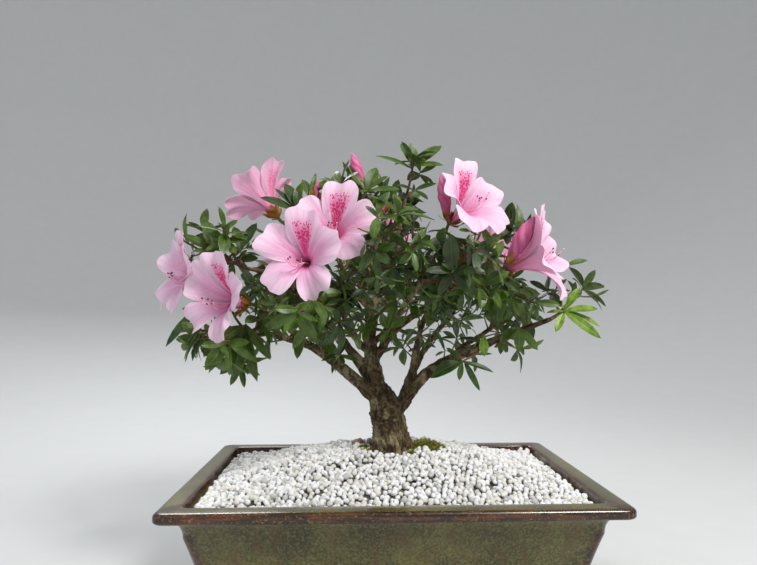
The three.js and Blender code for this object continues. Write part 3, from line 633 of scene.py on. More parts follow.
# %% Grow the wood
VOXEL = 0.75
ROOT_LOBES, ROOT_SWELL, ROOT_FADE, LEAST_SWELL = 5, 0.2, 18, 0.12
BARK = dict(squeeze=0.72, full_girth=12, lump=2.2, lump_grain=0.075, furrow_grain=0.32,
            furrow_middle=0.22, furrow=0.5, furrow_girth=2.4, flake_grain=1.1, flake=0.12, flake_girth=0.3)


def root_swell(angles, height):
    """The shares by which the trunk swells into root lobes near the ground."""
    fade = min(1.0, max(LEAST_SWELL, 1 - (height - GROUND) / ROOT_FADE))
    return 1 + ROOT_SWELL * fade * np.cos(ROOT_LOBES * angles + 0.6)


def limb_samples(steps=40):
    """Points along every limb with its radius and its direction there."""
    rows = []
    for limb in limbs.values():
        points = [along(limb, k / steps) for k in range(steps + 1)]
        for k, (point, radius) in enumerate(points):
            ahead, behind = points[min(k + 1, steps)][0], points[max(k - 1, 0)][0]
            rows.append((point, radius, unit(ahead - behind)))
    return rows


def bark_relief(mesh):
    """Moves each point of the wood along its normal, by the bark's relief, in millimetres."""
    samples = limb_samples()
    tree = KDTree(len(samples))
    for i, (point, _, _) in enumerate(samples):
        tree.insert(Vector(point), i)
    tree.balance()
    count = len(mesh.vertices)
    places, normals, furrows = np.zeros(3 * count), np.zeros(3 * count), np.zeros(count)
    mesh.vertices.foreach_get("co", places)
    mesh.vertex_normals.foreach_get("vector", normals)
    places, normals, shift = places.reshape(-1, 3) / MM, normals.reshape(-1, 3), np.zeros(count)
    b = BARK
    for i, p in enumerate(map(Vector, places)):
        _, radius, tangent = samples[tree.find(p)[1]]
        t = Vector(tangent)
        squeezed = p - t * p.dot(t) * b["squeeze"]
        girth = min(1.0, radius / b["full_girth"])
        furrows[i] = abs(noise.noise(squeezed * b["furrow_grain"] + Vector((7, 3, 1))))
        lump = noise.noise(p * b["lump_grain"]) * b["lump"] * girth
        furrow = (furrows[i] - b["furrow_middle"]) * (b["furrow"] + b["furrow_girth"] * girth)
        flake = noise.noise(squeezed * b["flake_grain"]) * (b["flake"] + b["flake_girth"] * girth)
        shift[i] = lump + furrow + flake
    mesh.vertices.foreach_set("co", ((places + normals * shift[:, None]) * MM).ravel())
    mesh.update()
    mesh.attributes.new("furrow", "FLOAT", "POINT").data.foreach_set("value", furrows)


bark = Finish("old_bark", Specular_IOR_Level=0.25)
patches, grain = bark.noise(60, 5), bark.noise(900, 3)
lichen, streaks = bark.noise(170, 4), bark.noise(230, 4, stretch=(1, 1, 0.4))
brown = bark.coats(
    bark.mix(bark.value("furrow").ramp(0.02, 0.26), "#352a19", "#60513a"),
    (patches.ramp(0.46, 0.6) * 0.65, "#a49877"),
    (streaks.ramp(0.5, 0.62) * 0.8, "#2e2416"),
    (lichen.ramp(0.6, 0.68) * 0.5, "#8b8c72"),
    (grain.ramp(0.4, 0.7) * 0.35, "#2b1f18"),
)
bark.set("Base Color", brown)
bark.set("Roughness", 0.78 + grain * 0.2)
bark.bump(grain + patches * 0.8, 0.35)

wood = Pile()
add_tube(wood, limbs["trunk"], 40, 40, swell=root_swell)
for name, *_ in LIMBS:
    add_tube(wood, limbs[name], 14, 36)
wood = make_piece("trunk_and_boughs", wood.mesh("trunk_and_boughs"), [bark], list(limbs))
apply_modifier(wood, "REMESH", mode="VOXEL", voxel_size=VOXEL * MM, use_smooth_shade=True)
apply_modifier(wood, "SMOOTH", factor=0.5, iterations=3)
bark_relief(wood.data)
print("Faces of the wood:", len(wood.data.polygons))

# %% [markdown]
# The foliage comes in masses, each of them in a ball of its own, and the flowers stand out
# between them. Both tables follow the source's, with what it has no need of added: how many
# shoots a mass grows, how a flower is turned, and how wide and deep it is. Every flower and
# bud opens in a cone, and no leaf may enter one: a plant holds its flowers out to the light.

# %% Repeat the masses and the flowers
MASSES = [
    # name, bough, share along it, middle (bearing, reach, height), radius, number of shoots
    ("foliage_left_tip", "bough_left_up", 1, (182, 156, 290), 46, 5),
    ("foliage_left_low", "bough_left_low", 1, (196, 137, 221), 46, 6),
    ("foliage_upper_left", "bough_top_left", 1, (180, 92, 325), 42, 5),
    ("foliage_front_left", "bough_front_left", 1, (231, 98, 244), 44, 7),
    ("foliage_top_left", "bough_top_left", 0.75, (178, 34, 343), 38, 6),
    ("foliage_top", "bough_leader", 1, (6, 18, 356), 43, 2),
    ("foliage_centre", "bough_front_left", 0.7, (264, 76, 290), 46, 8),
    ("foliage_front_right", "bough_front_right", 1, (308, 86, 270), 45, 8),
    ("foliage_right_upper", "bough_right_top", 1, (2, 102, 306), 44, 5),
    ("foliage_right_mid", "bough_centre_right", 1, (334, 111, 254), 42, 4),
    ("foliage_right_tip", "bough_right_low", 1, (358, 161, 246), 43, 2),
    ("foliage_right_low", "bough_right_low", 0.52, (331, 87, 206), 34, 1),
    ("foliage_right_back", "bough_right_back", 1, (21, 137, 240), 42, 3),
    ("foliage_centre_low", "bough_right_up", 1, (7, 36, 264), 38, 4),
    ("foliage_back_left", "bough_back_left", 1, (149, 121, 266), 48, 8),
    ("foliage_back", "bough_back", 1, (99, 80, 286), 44, 9),
    ("foliage_back_right", "bough_back_right", 1, (47, 106, 270), 46, 8),
    ("foliage_back_top", "bough_leader", 0.8, (85, 50, 336), 42, 7),
]
FLOWERS = [
    # name, bough, share along it, middle of its face in the source, look (bearing, tilt),
    # turn about the look, radius and depth of the petals
    ("bloom_left_outer", "bough_left_low", 0.9, (188, 185, 272), (215, 14), 12, 36, 36),
    ("bloom_left_front", "bough_left_low", 0.75, (208, 157, 249), (230, 6), 14, 36, 38),
    ("bloom_upper_left", "bough_top_left", 0.86, (172, 121, 350), (145, 46), 0, 36, 36),
    ("bloom_centre_left", "bough_front_left", 0.86, (231, 118, 281), (256, 8), 8, 36, 32),
    ("bloom_centre_upper", "bough_top_left", 0.45, (232, 77, 311), (270, 22), 6, 36, 32),
    ("bloom_top_right", "bough_right_top", 0.86, (328, 82, 334), (306, 30), -4, 38, 38),
    ("bloom_right", "bough_centre_right", 0.8, (338, 133, 286), (335, 20), 22, 40, 44),
    ("bloom_back_left", "bough_back_left", 0.8, (142, 132, 300), (128, 20), -8, 34, 32),
    ("bloom_back", "bough_back", 0.8, (86, 108, 322), (80, 24), 6, 34, 32),
    ("bloom_back_right", "bough_back_right", 0.8, (36, 144, 300), (44, 14), 0, 34, 32),
]
FRONT_FLOWERS = 7
FACE_DEPTH = 31
SIDE_BUDS = {
    # the flower it stands beside, its foot from the flower's foot, look, length, radius
    "bloom_top_right": ((-4, -4, 0), (150, 82), 42, 6.4),
    "bloom_right": ((-2, -10, 2), (325, 58), 46, 7.6),
}
BUD_TOP = dict(bough="bough_top_left", share=0.6, tip=(180, 34, 385), look=(180, 72), length=36, radius=6)

centres = np.array([place(*row[3]) for row in MASSES])
ball_radii = np.array([row[4] for row in MASSES], float)
bud_look = direction(*BUD_TOP["look"])
bud_foot = place(*BUD_TOP["tip"]) - bud_look * BUD_TOP["length"]


def flower_cones():
    """Foot, axis, length and radius of the cone that each flower and bud opens in."""
    cones = []
    for _, _, _, at, look, _, radius, depth in FLOWERS:
        axis = direction(*look)
        cones.append((place(*at) - axis * FACE_DEPTH, axis, depth, radius))
    for name, (shift, look, length, radius) in SIDE_BUDS.items():
        beside = [row[0] for row in FLOWERS].index(name)
        cones.append((cones[beside][0] + np.array(shift), direction(*look), length, radius))
    cones.append((bud_foot, bud_look, BUD_TOP["length"], BUD_TOP["radius"]))
    return [np.array(column) for column in zip(*cones)]


cone_feet, cone_axes, cone_lengths, cone_radii = flower_cones()
print("Masses:", len(MASSES), " flowers:", len(FLOWERS), " cones kept free:", len(cone_feet))

# %% [markdown]
# Each mass keeps to its ball, up to the plane between it and each neighbouring ball. Twigs
# and leaves also stay clear of the limbs, of the flowers' cones, and of the view that the
# camera has of the seven flowers in front and of the bare bough on the right. The tests work
# on many points at once, because they run some ten thousand times.

# %% Test where twigs and leaves may go
CONE = dict(foot=3.5, past=4, bend=0.9)
SIGHT = dict(face=0.8, width=0.82, behind=6, bough_width=8)
samples = limb_samples(12)
limb_points = np.array([p for p, _, _ in samples])
limb_radii = np.array([r for _, r, _ in samples])


def inside_space(points, i, margin):
    """True where all the points are in mass i's ball, on its own side of every neighbour's plane."""
    points = np.atleast_2d(points)
    power = ((points[:, None] - centres) ** 2).sum(-1) - ball_radii**2
    span = np.linalg.norm(centres - centres[i], axis=1)
    rival = (span > 0) & (span < ball_radii + ball_radii[i])
    lead = power[:, rival] - power[:, [i]]
    return bool((power[:, i] < 0).all() and (lead > 2 * span[rival] * margin).all())


def clear_of_limbs(points, room):
    """True where no point is nearer than the room to a limb's bark."""
    gaps = np.linalg.norm(np.atleast_2d(points)[:, None] - limb_points, axis=-1) - limb_radii
    return bool((gaps > room).all())


def along_and_aside(points, feet, axes):
    """How far each point lies ahead along each axis, and how far to its side."""
    offset = np.atleast_2d(points)[:, None] - feet
    ahead = (offset * axes).sum(-1)
    return ahead, np.linalg.norm(offset - ahead[..., None] * axes, axis=-1)


def clear_of_flowers(points, room):
    """True where no point is nearer than the room to a cone that a flower opens in."""
    ahead, aside = along_and_aside(points, cone_feet, cone_axes)
    share = np.clip(ahead / cone_lengths, 0, 1) ** CONE["bend"]
    reach = CONE["foot"] + (cone_radii - CONE["foot"]) * share + room
    return not ((ahead > -room) & (ahead < cone_lengths + room + CONE["past"]) & (aside < reach)).any()


bare_bough = [along(limbs["bough_right_low"], share)[0] for share in np.linspace(0.4, 0.88, 8)]
flower_faces = (cone_feet + SIGHT["face"] * cone_axes * cone_lengths[:, None])[:FRONT_FLOWERS]
sights = np.vstack([flower_faces, bare_bough]) - CAMERA_AT
bough_radii = np.full(len(bare_bough), SIGHT["bough_width"])
sight_radii = np.r_[SIGHT["width"] * cone_radii[:FRONT_FLOWERS], bough_radii]
sight_lengths = np.linalg.norm(sights, axis=1)
sights = sights / sight_lengths[:, None]


def blocks_view(points):
    """True if a point stands between the camera and a flower in front or the bare bough."""
    ahead, aside = along_and_aside(points, CAMERA_AT, sights)
    near = ahead < sight_lengths + SIGHT["behind"]
    return bool((near & (aside < sight_radii * ahead / sight_lengths)).any())


print("A point in front of the first flower blocks the view:", blocks_view(CAMERA_AT + sights[0] * 300))

# %% [markdown]
# An azalea leaf is a leathery ellipse up to 30 mm long that ends in a point. It is folded a
# little along its rib, bends down towards its tip, and is darker above than below. Eight
# shapes are enough: turned, sized and dealt at random they never look alike. Each is a closed
# thin body with an upper skin, a lower skin and a pale strip of its own along the rib.

# %% Cut the leaf shapes
LEAF = dict(length=29, thick=0.35, rib=0.045, middle=0.55)
LEAF_STEPS = np.array([0, 0.05, 0.17, 0.34, 0.52, 0.7, 0.87, 1.0])
LEAF_KINDS = {
    # width as a share of the length, where it is widest, and how many shapes
    "broad": (0.43, 0.55, 3),
    "oval": (0.33, 0.57, 3),
    "narrow": (0.21, 0.5, 2),
}
LEAF_ODDS = (3, 4, 2)
UPPER, RIB, LOWER = 0, 1, 2


def leaf_outline(width, widest):
    """Half the leaf's width at each step along it: a short stalk, an ellipse and a point."""
    t = LEAF_STEPS ** (math.log(0.5) / math.log(widest))
    return np.maximum(width / 2 * np.sin(math.pi * t) ** 0.68, 0.016 * (1 - LEAF_STEPS))


def leaf_shape(kind, fold, curl, wave, phase):
    """Points, faces and finishes of a leaf of length 1 along X, with its upper side to +Z."""
    t = LEAF_STEPS
    half = leaf_outline(*LEAF_KINDS[kind][:2])
    bend = -curl * t**2 + 0.03 * np.sin(math.pi * t)
    thick = LEAF["thick"] / LEAF["length"] / 2

    def row_points(shares, lift):
        columns = []
        for share in shares:
            y = share * half
            ripple = wave * abs(share) * np.sin(9 * t + phase + 2 * np.sign(share))
            height = bend + fold * np.abs(y) + ripple + lift(share)
            columns.append(np.stack([t - 0.15 * fold * np.abs(y), y, height], -1))
        return np.stack(columns, 1)

    rib, middle = LEAF["rib"], LEAF["middle"]
    upper_lift = {rib: 0.6 * thick, middle: thick, 1: 0}
    upper = row_points([-1, -middle, -rib, rib, middle, 1], lambda share: upper_lift[abs(share)])
    lower = row_points([-middle, 0, middle], lambda share: -thick if share else -1.6 * thick)
    return leaf_faces(upper, lower)


def leaf_faces(upper, lower):
    """Joins the upper and lower skins along the leaf's edge and round its two ends."""
    rows = len(upper)
    points = np.vstack([upper.reshape(-1, 3), lower.reshape(-1, 3)])
    top = np.arange(rows * 6).reshape(rows, 6)
    under = np.column_stack([top[:, 0], rows * 6 + np.arange(rows * 3).reshape(rows, 3), top[:, 5]])
    faces, kinds = [], []
    for i in range(rows - 1):
        for j in range(5):
            faces.append([top[i + 1, j], top[i + 1, j + 1], top[i, j + 1], top[i, j]])
            kinds.append(RIB if j == 2 else UPPER)
        for j in range(4):
            faces.append([under[i, j], under[i, j + 1], under[i + 1, j + 1], under[i + 1, j]])
            kinds.append(LOWER)
    for i, order in ((0, 1), (rows - 1, -1)):
        ring = [*top[i], *under[i, 3:0:-1]]
        faces.append(ring[::order])
        kinds.append(LOWER)
    return points, [[int(corner) for corner in face] for face in faces], kinds


shaper = random.Random(5)
SHAPER_RANGES = dict(fold=(0.1, 0.34), curl=(0.03, 0.26), wave=(0.0, 0.014), phase=(0, 6))
leaf_shapes = {kind: [] for kind in LEAF_KINDS}
for kind, (_, _, shapes) in LEAF_KINDS.items():
    for _ in range(shapes):
        chosen = {key: shaper.uniform(*limits) for key, limits in SHAPER_RANGES.items()}
        leaf_shapes[kind].append(leaf_shape(kind, **chosen))
leaf_points = len(leaf_shapes["oval"][0][0])
print("A leaf has", leaf_points, "points and", len(leaf_shapes["oval"][0][1]), "faces")

# %% [markdown]
# Twigs carry their leaves in whorls at their ends. Every leaf is tested: one that would leave
# the ball, touch a limb or a flower, or hide a flower is made smaller, and left out if that
# doesn't help. Single leaves also stand along a twig, each out to its own side.

# %% Place a leaf and a whorl
SIZES = (1.0, 0.88, 0.76, 0.64)
WHORL = dict(open=(76, 46), wander=14, hub_back=4)
OLD_TWIG, YOUNG_TWIG = 0, 1
UP = np.array([0, 0, 1.0])
grower = random.Random(11)
twigs = Pile()
leaf_piles = {tone: Pile() for tone in ("deep", "dark", "mid", "fresh")}


def leaf_frame(along_leaf, above):
    """The rows that take a leaf shape to its place."""
    side = unit(np.cross(above, along_leaf))
    return np.stack([along_leaf, side, np.cross(along_leaf, side)])


def add_leaf(pile, base, along_leaf, above, size, kind=None):
    """Adds one leaf to a pile, of the kind that is asked for or else of any kind."""
    kind = kind or grower.choices(list(LEAF_KINDS), LEAF_ODDS)[0]
    points, faces, finishes = grower.choice(leaf_shapes[kind])
    widen = np.array([1, grower.uniform(0.88, 1.1), 1])
    pile.add(base + (points * widen) @ leaf_frame(along_leaf, above) * size, faces, finishes)


def leaf_fits(base, along_leaf, size, i):
    """Tests the leaf's tip against its ball and its whole length against limbs and flowers."""
    rib = base + np.outer((0.25, 0.5, 0.75, 1.0), along_leaf) * size
    inside = i is None or np.linalg.norm(rib[-1] - centres[i]) < ball_radii[i]
    return inside and clear_of_limbs(rib[1:], 2.0) and clear_of_flowers(rib, 1.5) and not blocks_view(rib)


def whorl(pile, hub, axis, i, count, length, droop):
    """A ring of leaves round a twig's end, by turns spreading and upright."""
    turn = grower.uniform(0, 2 * math.pi)
    for k in range(count):
        angle = turn + 2 * math.pi * (k + grower.uniform(-0.2, 0.2)) / count
        radial = around(axis, [axis[1], axis[2], axis[0]], angle)
        open_angle = math.radians(WHORL["open"][k % 2] + grower.uniform(-WHORL["wander"], WHORL["wander"]))
        along_leaf = axis * math.cos(open_angle) + radial * math.sin(open_angle)
        along_leaf = unit(along_leaf - UP * droop * grower.uniform(0.4, 1.3))
        base = hub + radial * 0.5 - axis * grower.uniform(0, WHORL["hub_back"])
        wanted = length * grower.uniform(0.72, 1.05)
        size = next((wanted * s for s in SIZES if leaf_fits(base, along_leaf, wanted * s, i)), None)
        if size:
            above = axis - along_leaf * axis.dot(along_leaf) + 0.35 * UP
            add_leaf(pile, base, along_leaf, above, size)


def random_side(axis):
    """A random direction square to an axis."""
    return unit(np.cross(axis, [grower.uniform(-1, 1), grower.uniform(-1, 1), grower.uniform(-1, 1)]))


def stem_leaves(pile, points, i, count, length):
    """Single leaves along a twig, each standing out to its own side."""
    for _ in range(count):
        base, axis = curve_point(points, grower.uniform(0.3, 0.9)), unit(points[-1] - points[0])
        along_leaf = unit(axis * 0.6 + random_side(axis))
        size = length * grower.uniform(0.6, 1.1)
        if leaf_fits(base, along_leaf, size, i):
            add_leaf(pile, base, along_leaf, axis + 0.5 * UP, size)


def bent_twig(start, hub, radii, bend, finish=OLD_TWIG):
    """A twig from start to hub with a slight bend in the middle."""
    wander = np.array([grower.uniform(-1, 1), grower.uniform(-1, 1), grower.uniform(-1.2, 0.4)])
    points = np.array([start, (start + hub) / 2 + wander * bend, hub])
    add_tube(twigs, (points, radii), 6, 6, finish)
    return points


print("Leaf sizes tried, as shares:", SIZES)

# %% [markdown]
# The rule is the source's, carried on to finer twigs. A stem runs from the bough into the
# ball, shoots leave it in evenly spread directions, and each shoot forks into side twigs with
# smaller leaves. A shoot whose end would stand outside its space, too near to a limb or in
# front of a flower is drawn back in steps, and left out if that doesn't help.

# %% Grow the masses
STEM = dict(radius=1.9, tip=1.3, end=0.75, sag=0.06)
SHOOT, SIDE_TWIG = (1.25, 0.8), (0.85, 0.6)
REACHES = (1.0, 0.8, 0.6, 0.4)
SIDE_TWIGS, LOOSE = 2, 5
CROWN_TOP = 270
stem_ends = {}


def spread_directions(outward, count):
    """Even directions round a ball, the first one outward, all lifted a little."""
    golden, turn = math.pi * (3 - math.sqrt(5)), grower.uniform(0, 2 * math.pi)
    for i in range(count):
        z = 1 - 1.6 * i / max(1, count - 1)
        spread = outward * z + math.sqrt(1 - z * z) * around(outward, [0.3, 0.2, 1.0], turn + golden * i)
        yield unit(spread + 0.15 * UP)


def side_twigs(points, axis, i, tone, count):
    """Finer twigs that fork from a shoot, each with a whorl of smaller leaves."""
    for _ in range(count):
        start = curve_point(points, grower.uniform(0.3, 0.8))
        heading = unit(axis * 0.7 + random_side(axis) + 0.15 * UP)
        hub = start + heading * grower.uniform(10, 19)
        if inside_space(hub, i, 0) and clear_of_limbs(hub, 2) and clear_of_flowers(hub, 2.5):
            finer = bent_twig(start, hub, SIDE_TWIG, 1.0, YOUNG_TWIG)
            length = LEAF["length"] * grower.uniform(0.45, 0.8)
            whorl(leaf_piles[tone], hub, unit(hub - finer[1]), i, grower.randint(4, 6), length, 0.2)


def leaf_tone(axis, height):
    """A few twigs are fresh green, mostly at the top of the crown, and the rest any darker tone."""
    if grower.random() < 0.02 + 0.05 * max(0.0, axis[2]) * (height > CROWN_TOP):
        return "fresh"
    return grower.choice(("deep", "dark", "mid", "mid"))


def grow_mass(i):
    """A stem, its shoots and their side twigs in the space of mass i."""
    name, bough, share, _, radius, shoots = MASSES[i]
    root, girth = along(limbs[bough], share)
    end = root + (centres[i] - root) * STEM["end"]
    middle = (root + end) / 2 - UP * STEM["sag"] * np.linalg.norm(end - root)
    stem = (np.array([root, middle, end]), (min(STEM["radius"], girth), STEM["tip"]))
    add_tube(twigs, stem, 8, 10)
    stem_ends[name] = end
    for k, axis in enumerate(spread_directions(unit(centres[i] - root), shoots)):
        start = root + (end - root) * (1 - 0.5 * k / shoots)
        reach = radius - 0.6 * LEAF["length"]
        hubs = [centres[i] + axis * reach * s for s in REACHES]
        hub = next((h for h in hubs if inside_space(h, i, 1) and clear_of_limbs((start + 3 * h) / 4, 2)
                    and clear_of_flowers(h, 2.5) and not blocks_view(h)), None)
        if hub is None:
            continue
        tone = leaf_tone(axis, hub[2])
        points = bent_twig(start, hub, SHOOT, 2.5)
        length = LEAF["length"] * grower.uniform(0.8, 1.06)
        whorl(leaf_piles[tone], hub, axis, i, grower.randint(5, 7), length, 0.15)
        stem_leaves(leaf_piles[tone], points, i, 3, LEAF["length"] * 0.55)
        side_twigs(points, axis, i, tone, SIDE_TWIGS if shoots > LOOSE else 1)


for i in range(len(MASSES)):
    grow_mass(i)
print("Leaves:", {tone: pile.count // leaf_points for tone, pile in leaf_piles.items()})

# %% [markdown]
# Old boughs also sprout from their own bark. These little twigs with few small leaves fill
# the lower crown loosely, so that light and limbs still show between them.

# %% Sprout the boughs
SPROUTS, LOWEST_SPROUT = 11, 190
SPROUT = (0.9, 0.5)


def sprout_bough(name, count):
    """Short twigs with small leaves from the bark of one bough."""
    for _ in range(count):
        share = grower.uniform(0.35, 0.97)
        start, girth = along(limbs[name], share)
        axis = unit(along(limbs[name], min(1, share + 0.05))[0] - along(limbs[name], share - 0.05)[0])
        heading = unit(random_side(axis) + axis * 0.5 + 0.4 * UP)
        hub = start + heading * (girth + grower.uniform(12, 26))
        clear = clear_of_flowers(hub, 3) and not blocks_view(hub) and clear_of_limbs(hub, 4)
        if clear and hub[2] > LOWEST_SPROUT:
            bent_twig(start, hub, SPROUT, 1.5, YOUNG_TWIG)
            tone = grower.choice(("dark", "mid", "mid"))
            length = LEAF["length"] * grower.uniform(0.45, 0.78)
            whorl(leaf_piles[tone], hub, heading, None, grower.randint(3, 5), length, 0.25)


for name, *_ in LIMBS:
    sprout_bough(name, SPROUTS)
print("Faces of twigs:", len(twigs.faces))

# %% [markdown]
# Some sprigs show so plainly in the picture that they have places of their own, such as the
# tall one at the top and the fresh tip on the right. Each hub is a pixel and a depth, and
# each leaf runs from there to its own tip's pixel. The twig to the hub comes from the stem of
# the mass that the sprig belongs to.

# %% Add the sprigs that show most
SPRIGS = [
    # mass, hub's pixel, its depth, tone, then for each leaf its tip's pixel, how much further
    # back than the hub the tip is, and its kind
    ("foliage_top", (413, 166), 2, "mid", [
        (377, 154, -4, "narrow"), (403, 141, 4, "broad"), (413, 143, -6, "broad"), (441, 144, 2, "oval"),
        (443, 163, -8, "oval")]),
    ("foliage_top", (415, 190), 0, "dark", [
        (398, 184, -8, "oval"), (436, 182, -6, "oval"), (428, 198, -14, "oval")]),
    ("foliage_top_left", (368, 190), -6, "mid", [
        (344, 164, 4, "oval"), (376, 165, 2, "broad"), (399, 187, -6, "oval"), (387, 175, -2, "oval"),
        (350, 194, -12, "oval")]),
    ("foliage_upper_left", (297, 210), -22, "dark", [
        (261, 195, -8, "oval"), (275, 187, 2, "narrow"), (287, 180, 4, "broad"), (298, 186, -4, "broad")]),
    ("foliage_upper_left", (310, 198), -4, "mid", [
        (327, 178, 0, "oval"), (316, 172, 4, "narrow"), (303, 178, 8, "oval")]),
    ("foliage_left_tip", (212, 251), -8, "mid", [
        (207, 219, 2, "broad"), (183, 233, -6, "oval"), (193, 250, -12, "oval"), (230, 240, -8, "oval")]),
    ("foliage_left_tip", (241, 250), -12, "dark", [
        (235, 225, 0, "broad"), (256, 222, 4, "oval"), (219, 241, -8, "oval"), (262, 246, -8, "oval")]),
    ("foliage_left_low", (198, 307), -24, "dark", [(164, 346, -4, "narrow"), (182, 308, -8, "oval")]),
    ("foliage_left_low", (246, 324), -44, "mid", [
        (205, 349, -6, "oval"), (207, 372, -10, "narrow"), (232, 381, -4, "oval"), (256, 382, -4, "narrow"),
        (270, 360, -8, "narrow")]),
    ("foliage_front_left", (303, 288), -66, "dark", [(285, 319, -8, "broad"), (304, 327, -10, "broad")]),
    ("foliage_front_left", (326, 280), -62, "mid", [
        (361, 295, -10, "oval"), (347, 308, -12, "broad"), (337, 323, -12, "oval"),
        (318, 312, -14, "oval")]),
    ("foliage_centre", (395, 268), -70, "dark", [
        (377, 256, -6, "oval"), (413, 257, -6, "oval"), (376, 281, -10, "narrow"), (402, 297, -12, "broad"),
        (389, 248, -4, "narrow"), (418, 277, -8, "oval")]),
    ("foliage_centre", (379, 226), -48, "mid", [
        (364, 214, -6, "narrow"), (393, 213, -4, "narrow"), (398, 230, -10, "oval"),
        (372, 240, -12, "narrow"), (380, 208, 0, "oval")]),
    ("foliage_front_right", (447, 236), -44, "dark", [
        (442, 269, -10, "broad"), (493, 256, -6, "narrow"), (486, 274, -12, "oval"),
        (425, 246, -8, "oval")]),
    ("foliage_right_upper", (518, 233), -16, "mid", [(520, 206, -2, "broad"), (504, 222, -6, "broad")]),
    ("foliage_right_upper", (489, 250), -34, "fresh", [
        (484, 226, -2, "broad"), (499, 231, -4, "broad"), (476, 240, -6, "oval")]),
    ("foliage_right_mid", (500, 276), -56, "dark", [
        (497, 324, -6, "oval"), (512, 309, -10, "narrow"), (478, 300, -8, "oval"),
        (520, 292, -12, "oval")]),
    ("foliage_right_upper", (566, 267), -8, "mid", [(588, 259, -2, "oval")]),
    ("foliage_right_tip", (564, 311), -22, "fresh", [
        (580, 287, 0, "oval"), (598, 307, -6, "oval"), (558, 293, -4, "narrow"), (602, 338, -8, "narrow"),
        (601, 324, -2, "narrow"), (556, 331, -8, "oval"), (547, 312, -8, "narrow")]),
    ("foliage_right_mid", (520, 328), -30, "mid", [
        (519, 351, -4, "broad"), (538, 350, -6, "oval"), (500, 340, -6, "oval")]),
    ("foliage_right_low", (461, 362), -38, "dark", [
        (431, 374, -6, "broad"), (459, 380, -6, "oval"), (480, 391, -4, "narrow"), (494, 371, -4, "narrow"),
        (447, 347, 0, "oval")]),
    ("foliage_right_low", (484, 333), -40, "fresh", [(484, 356, -2, "broad")]),
]
SPRIG_TWIG = (1.3, 0.8)
FACING_CAMERA, HANGING, HANGS_BELOW = np.array([0.15, -0.75, 0.75]), np.array([-0.3, -1.0, 0.3]), -12


def add_sprig(mass, hub_pixel, depth, tone, leaves):
    """A twig from the mass's stem to the hub, and leaves from the hub to their tips."""
    hub = at_pixel(*hub_pixel, depth)
    points = bent_twig(stem_ends[mass], hub, SPRIG_TWIG, 1.5)
    for x, y, behind, kind in leaves:
        tip = at_pixel(x, y, depth + behind)
        above = FACING_CAMERA if tip[2] - hub[2] > HANGS_BELOW else HANGING
        base = hub - unit(hub - points[1]) * grower.uniform(0, 3)
        add_leaf(leaf_piles[tone], base, unit(tip - base), above, np.linalg.norm(tip - base), kind)


for sprig in SPRIGS:
    add_sprig(*sprig)
print("Sprigs:", len(SPRIGS), " their leaves:", sum(len(sprig[4]) for sprig in SPRIGS))

# %% [markdown]
# Leaf green has four tones, dealt out twig by twig as on the plant: three from deep to mid for
# older leaves, and a fresh yellow-green for new growth. The upper side has a waxy shine, the
# lower side is duller and paler, and young twigs are brown with a green tinge. A leaf is so
# thin that light comes through it, so a little of it scatters below the skin.

# %% Finish the foliage
FOLIAGE_NODES = [row[0] for row in MASSES]
LEAF_TONES = {
    "deep": ("#161e08", "#293a12"),
    "dark": ("#1e2d0b", "#344a15"),
    "mid": ("#2f4410", "#4c631a"),
    "fresh": ("#4a6a17", "#76932b"),
}


def leaf_finish(tone):
    """The waxy green of a leaf's upper side."""
    dark, light = LEAF_TONES[tone]
    finish = Finish(f"leaf_{tone}", Specular_IOR_Level=0.45, Subsurface_Weight=0.12, Subsurface_Scale=0.002,
                    Subsurface_Radius=(0.5, 1.0, 0.2))
    cloud = finish.noise(160, 2)
    finish.set("Base Color", finish.mix(cloud.ramp(0.3, 0.7), dark, light))
    finish.set("Roughness", 0.3 + finish.noise(500, 2) * 0.24)
    finish.bump(finish.noise(900, 2), 0.12)
    return finish


def plain_finish(name, first, second, scale, roughness, bump_mm):
    """A dull finish whose colour wanders between two tints."""
    finish = Finish(name, Specular_IOR_Level=0.3)
    cloud = finish.noise(scale, 3)
    finish.set("Base Color", finish.mix(cloud.ramp(0.3, 0.7), first, second))
    finish.set("Roughness", roughness + cloud * 0.1)
    finish.bump(finish.noise(scale * 3, 2), bump_mm)
    return finish


leaf_under = plain_finish("leaf_underside", "#4d6333", "#6b8349", 200, 0.5, 0.1)
twig_bark = plain_finish("twig_bark", "#54402f", "#7b6450", 300, 0.75, 0.25)
twig_green = plain_finish("young_twig", "#6a5535", "#7a7a44", 400, 0.6, 0.15)
RIB_TONES = {"deep": "#3c5428", "dark": "#46622b", "mid": "#5c7c33", "fresh": "#94b048"}
for tone, pile in leaf_piles.items():
    rib = plain_finish(f"rib_{tone}", RIB_TONES[tone], RIB_TONES[tone], 300, 0.45, 0.05)
    finishes = [leaf_finish(tone), rib, leaf_under]
    make_piece(f"leaves_{tone}", pile.mesh(f"leaves_{tone}"), finishes, FOLIAGE_NODES)
make_piece("twigs", twigs.mesh("twigs"), [twig_bark, twig_green], FOLIAGE_NODES)

# %% [markdown]
# The flower is a narrow tube that opens into five broad lobes. Every lobe is one grid: along
# it runs the reach from the tube to the edge, and across it a number from -1 to 1. The
# funnel's radius and height follow the reach. The outline shortens the grid towards the
# lobe's sides, which makes the clefts, and dents it at the tip. The three upper lobes stand
# closer together and the two lower ones hang apart. Each lobe gets folds, a ruffled edge and
# two skins a quarter of a millimetre apart.

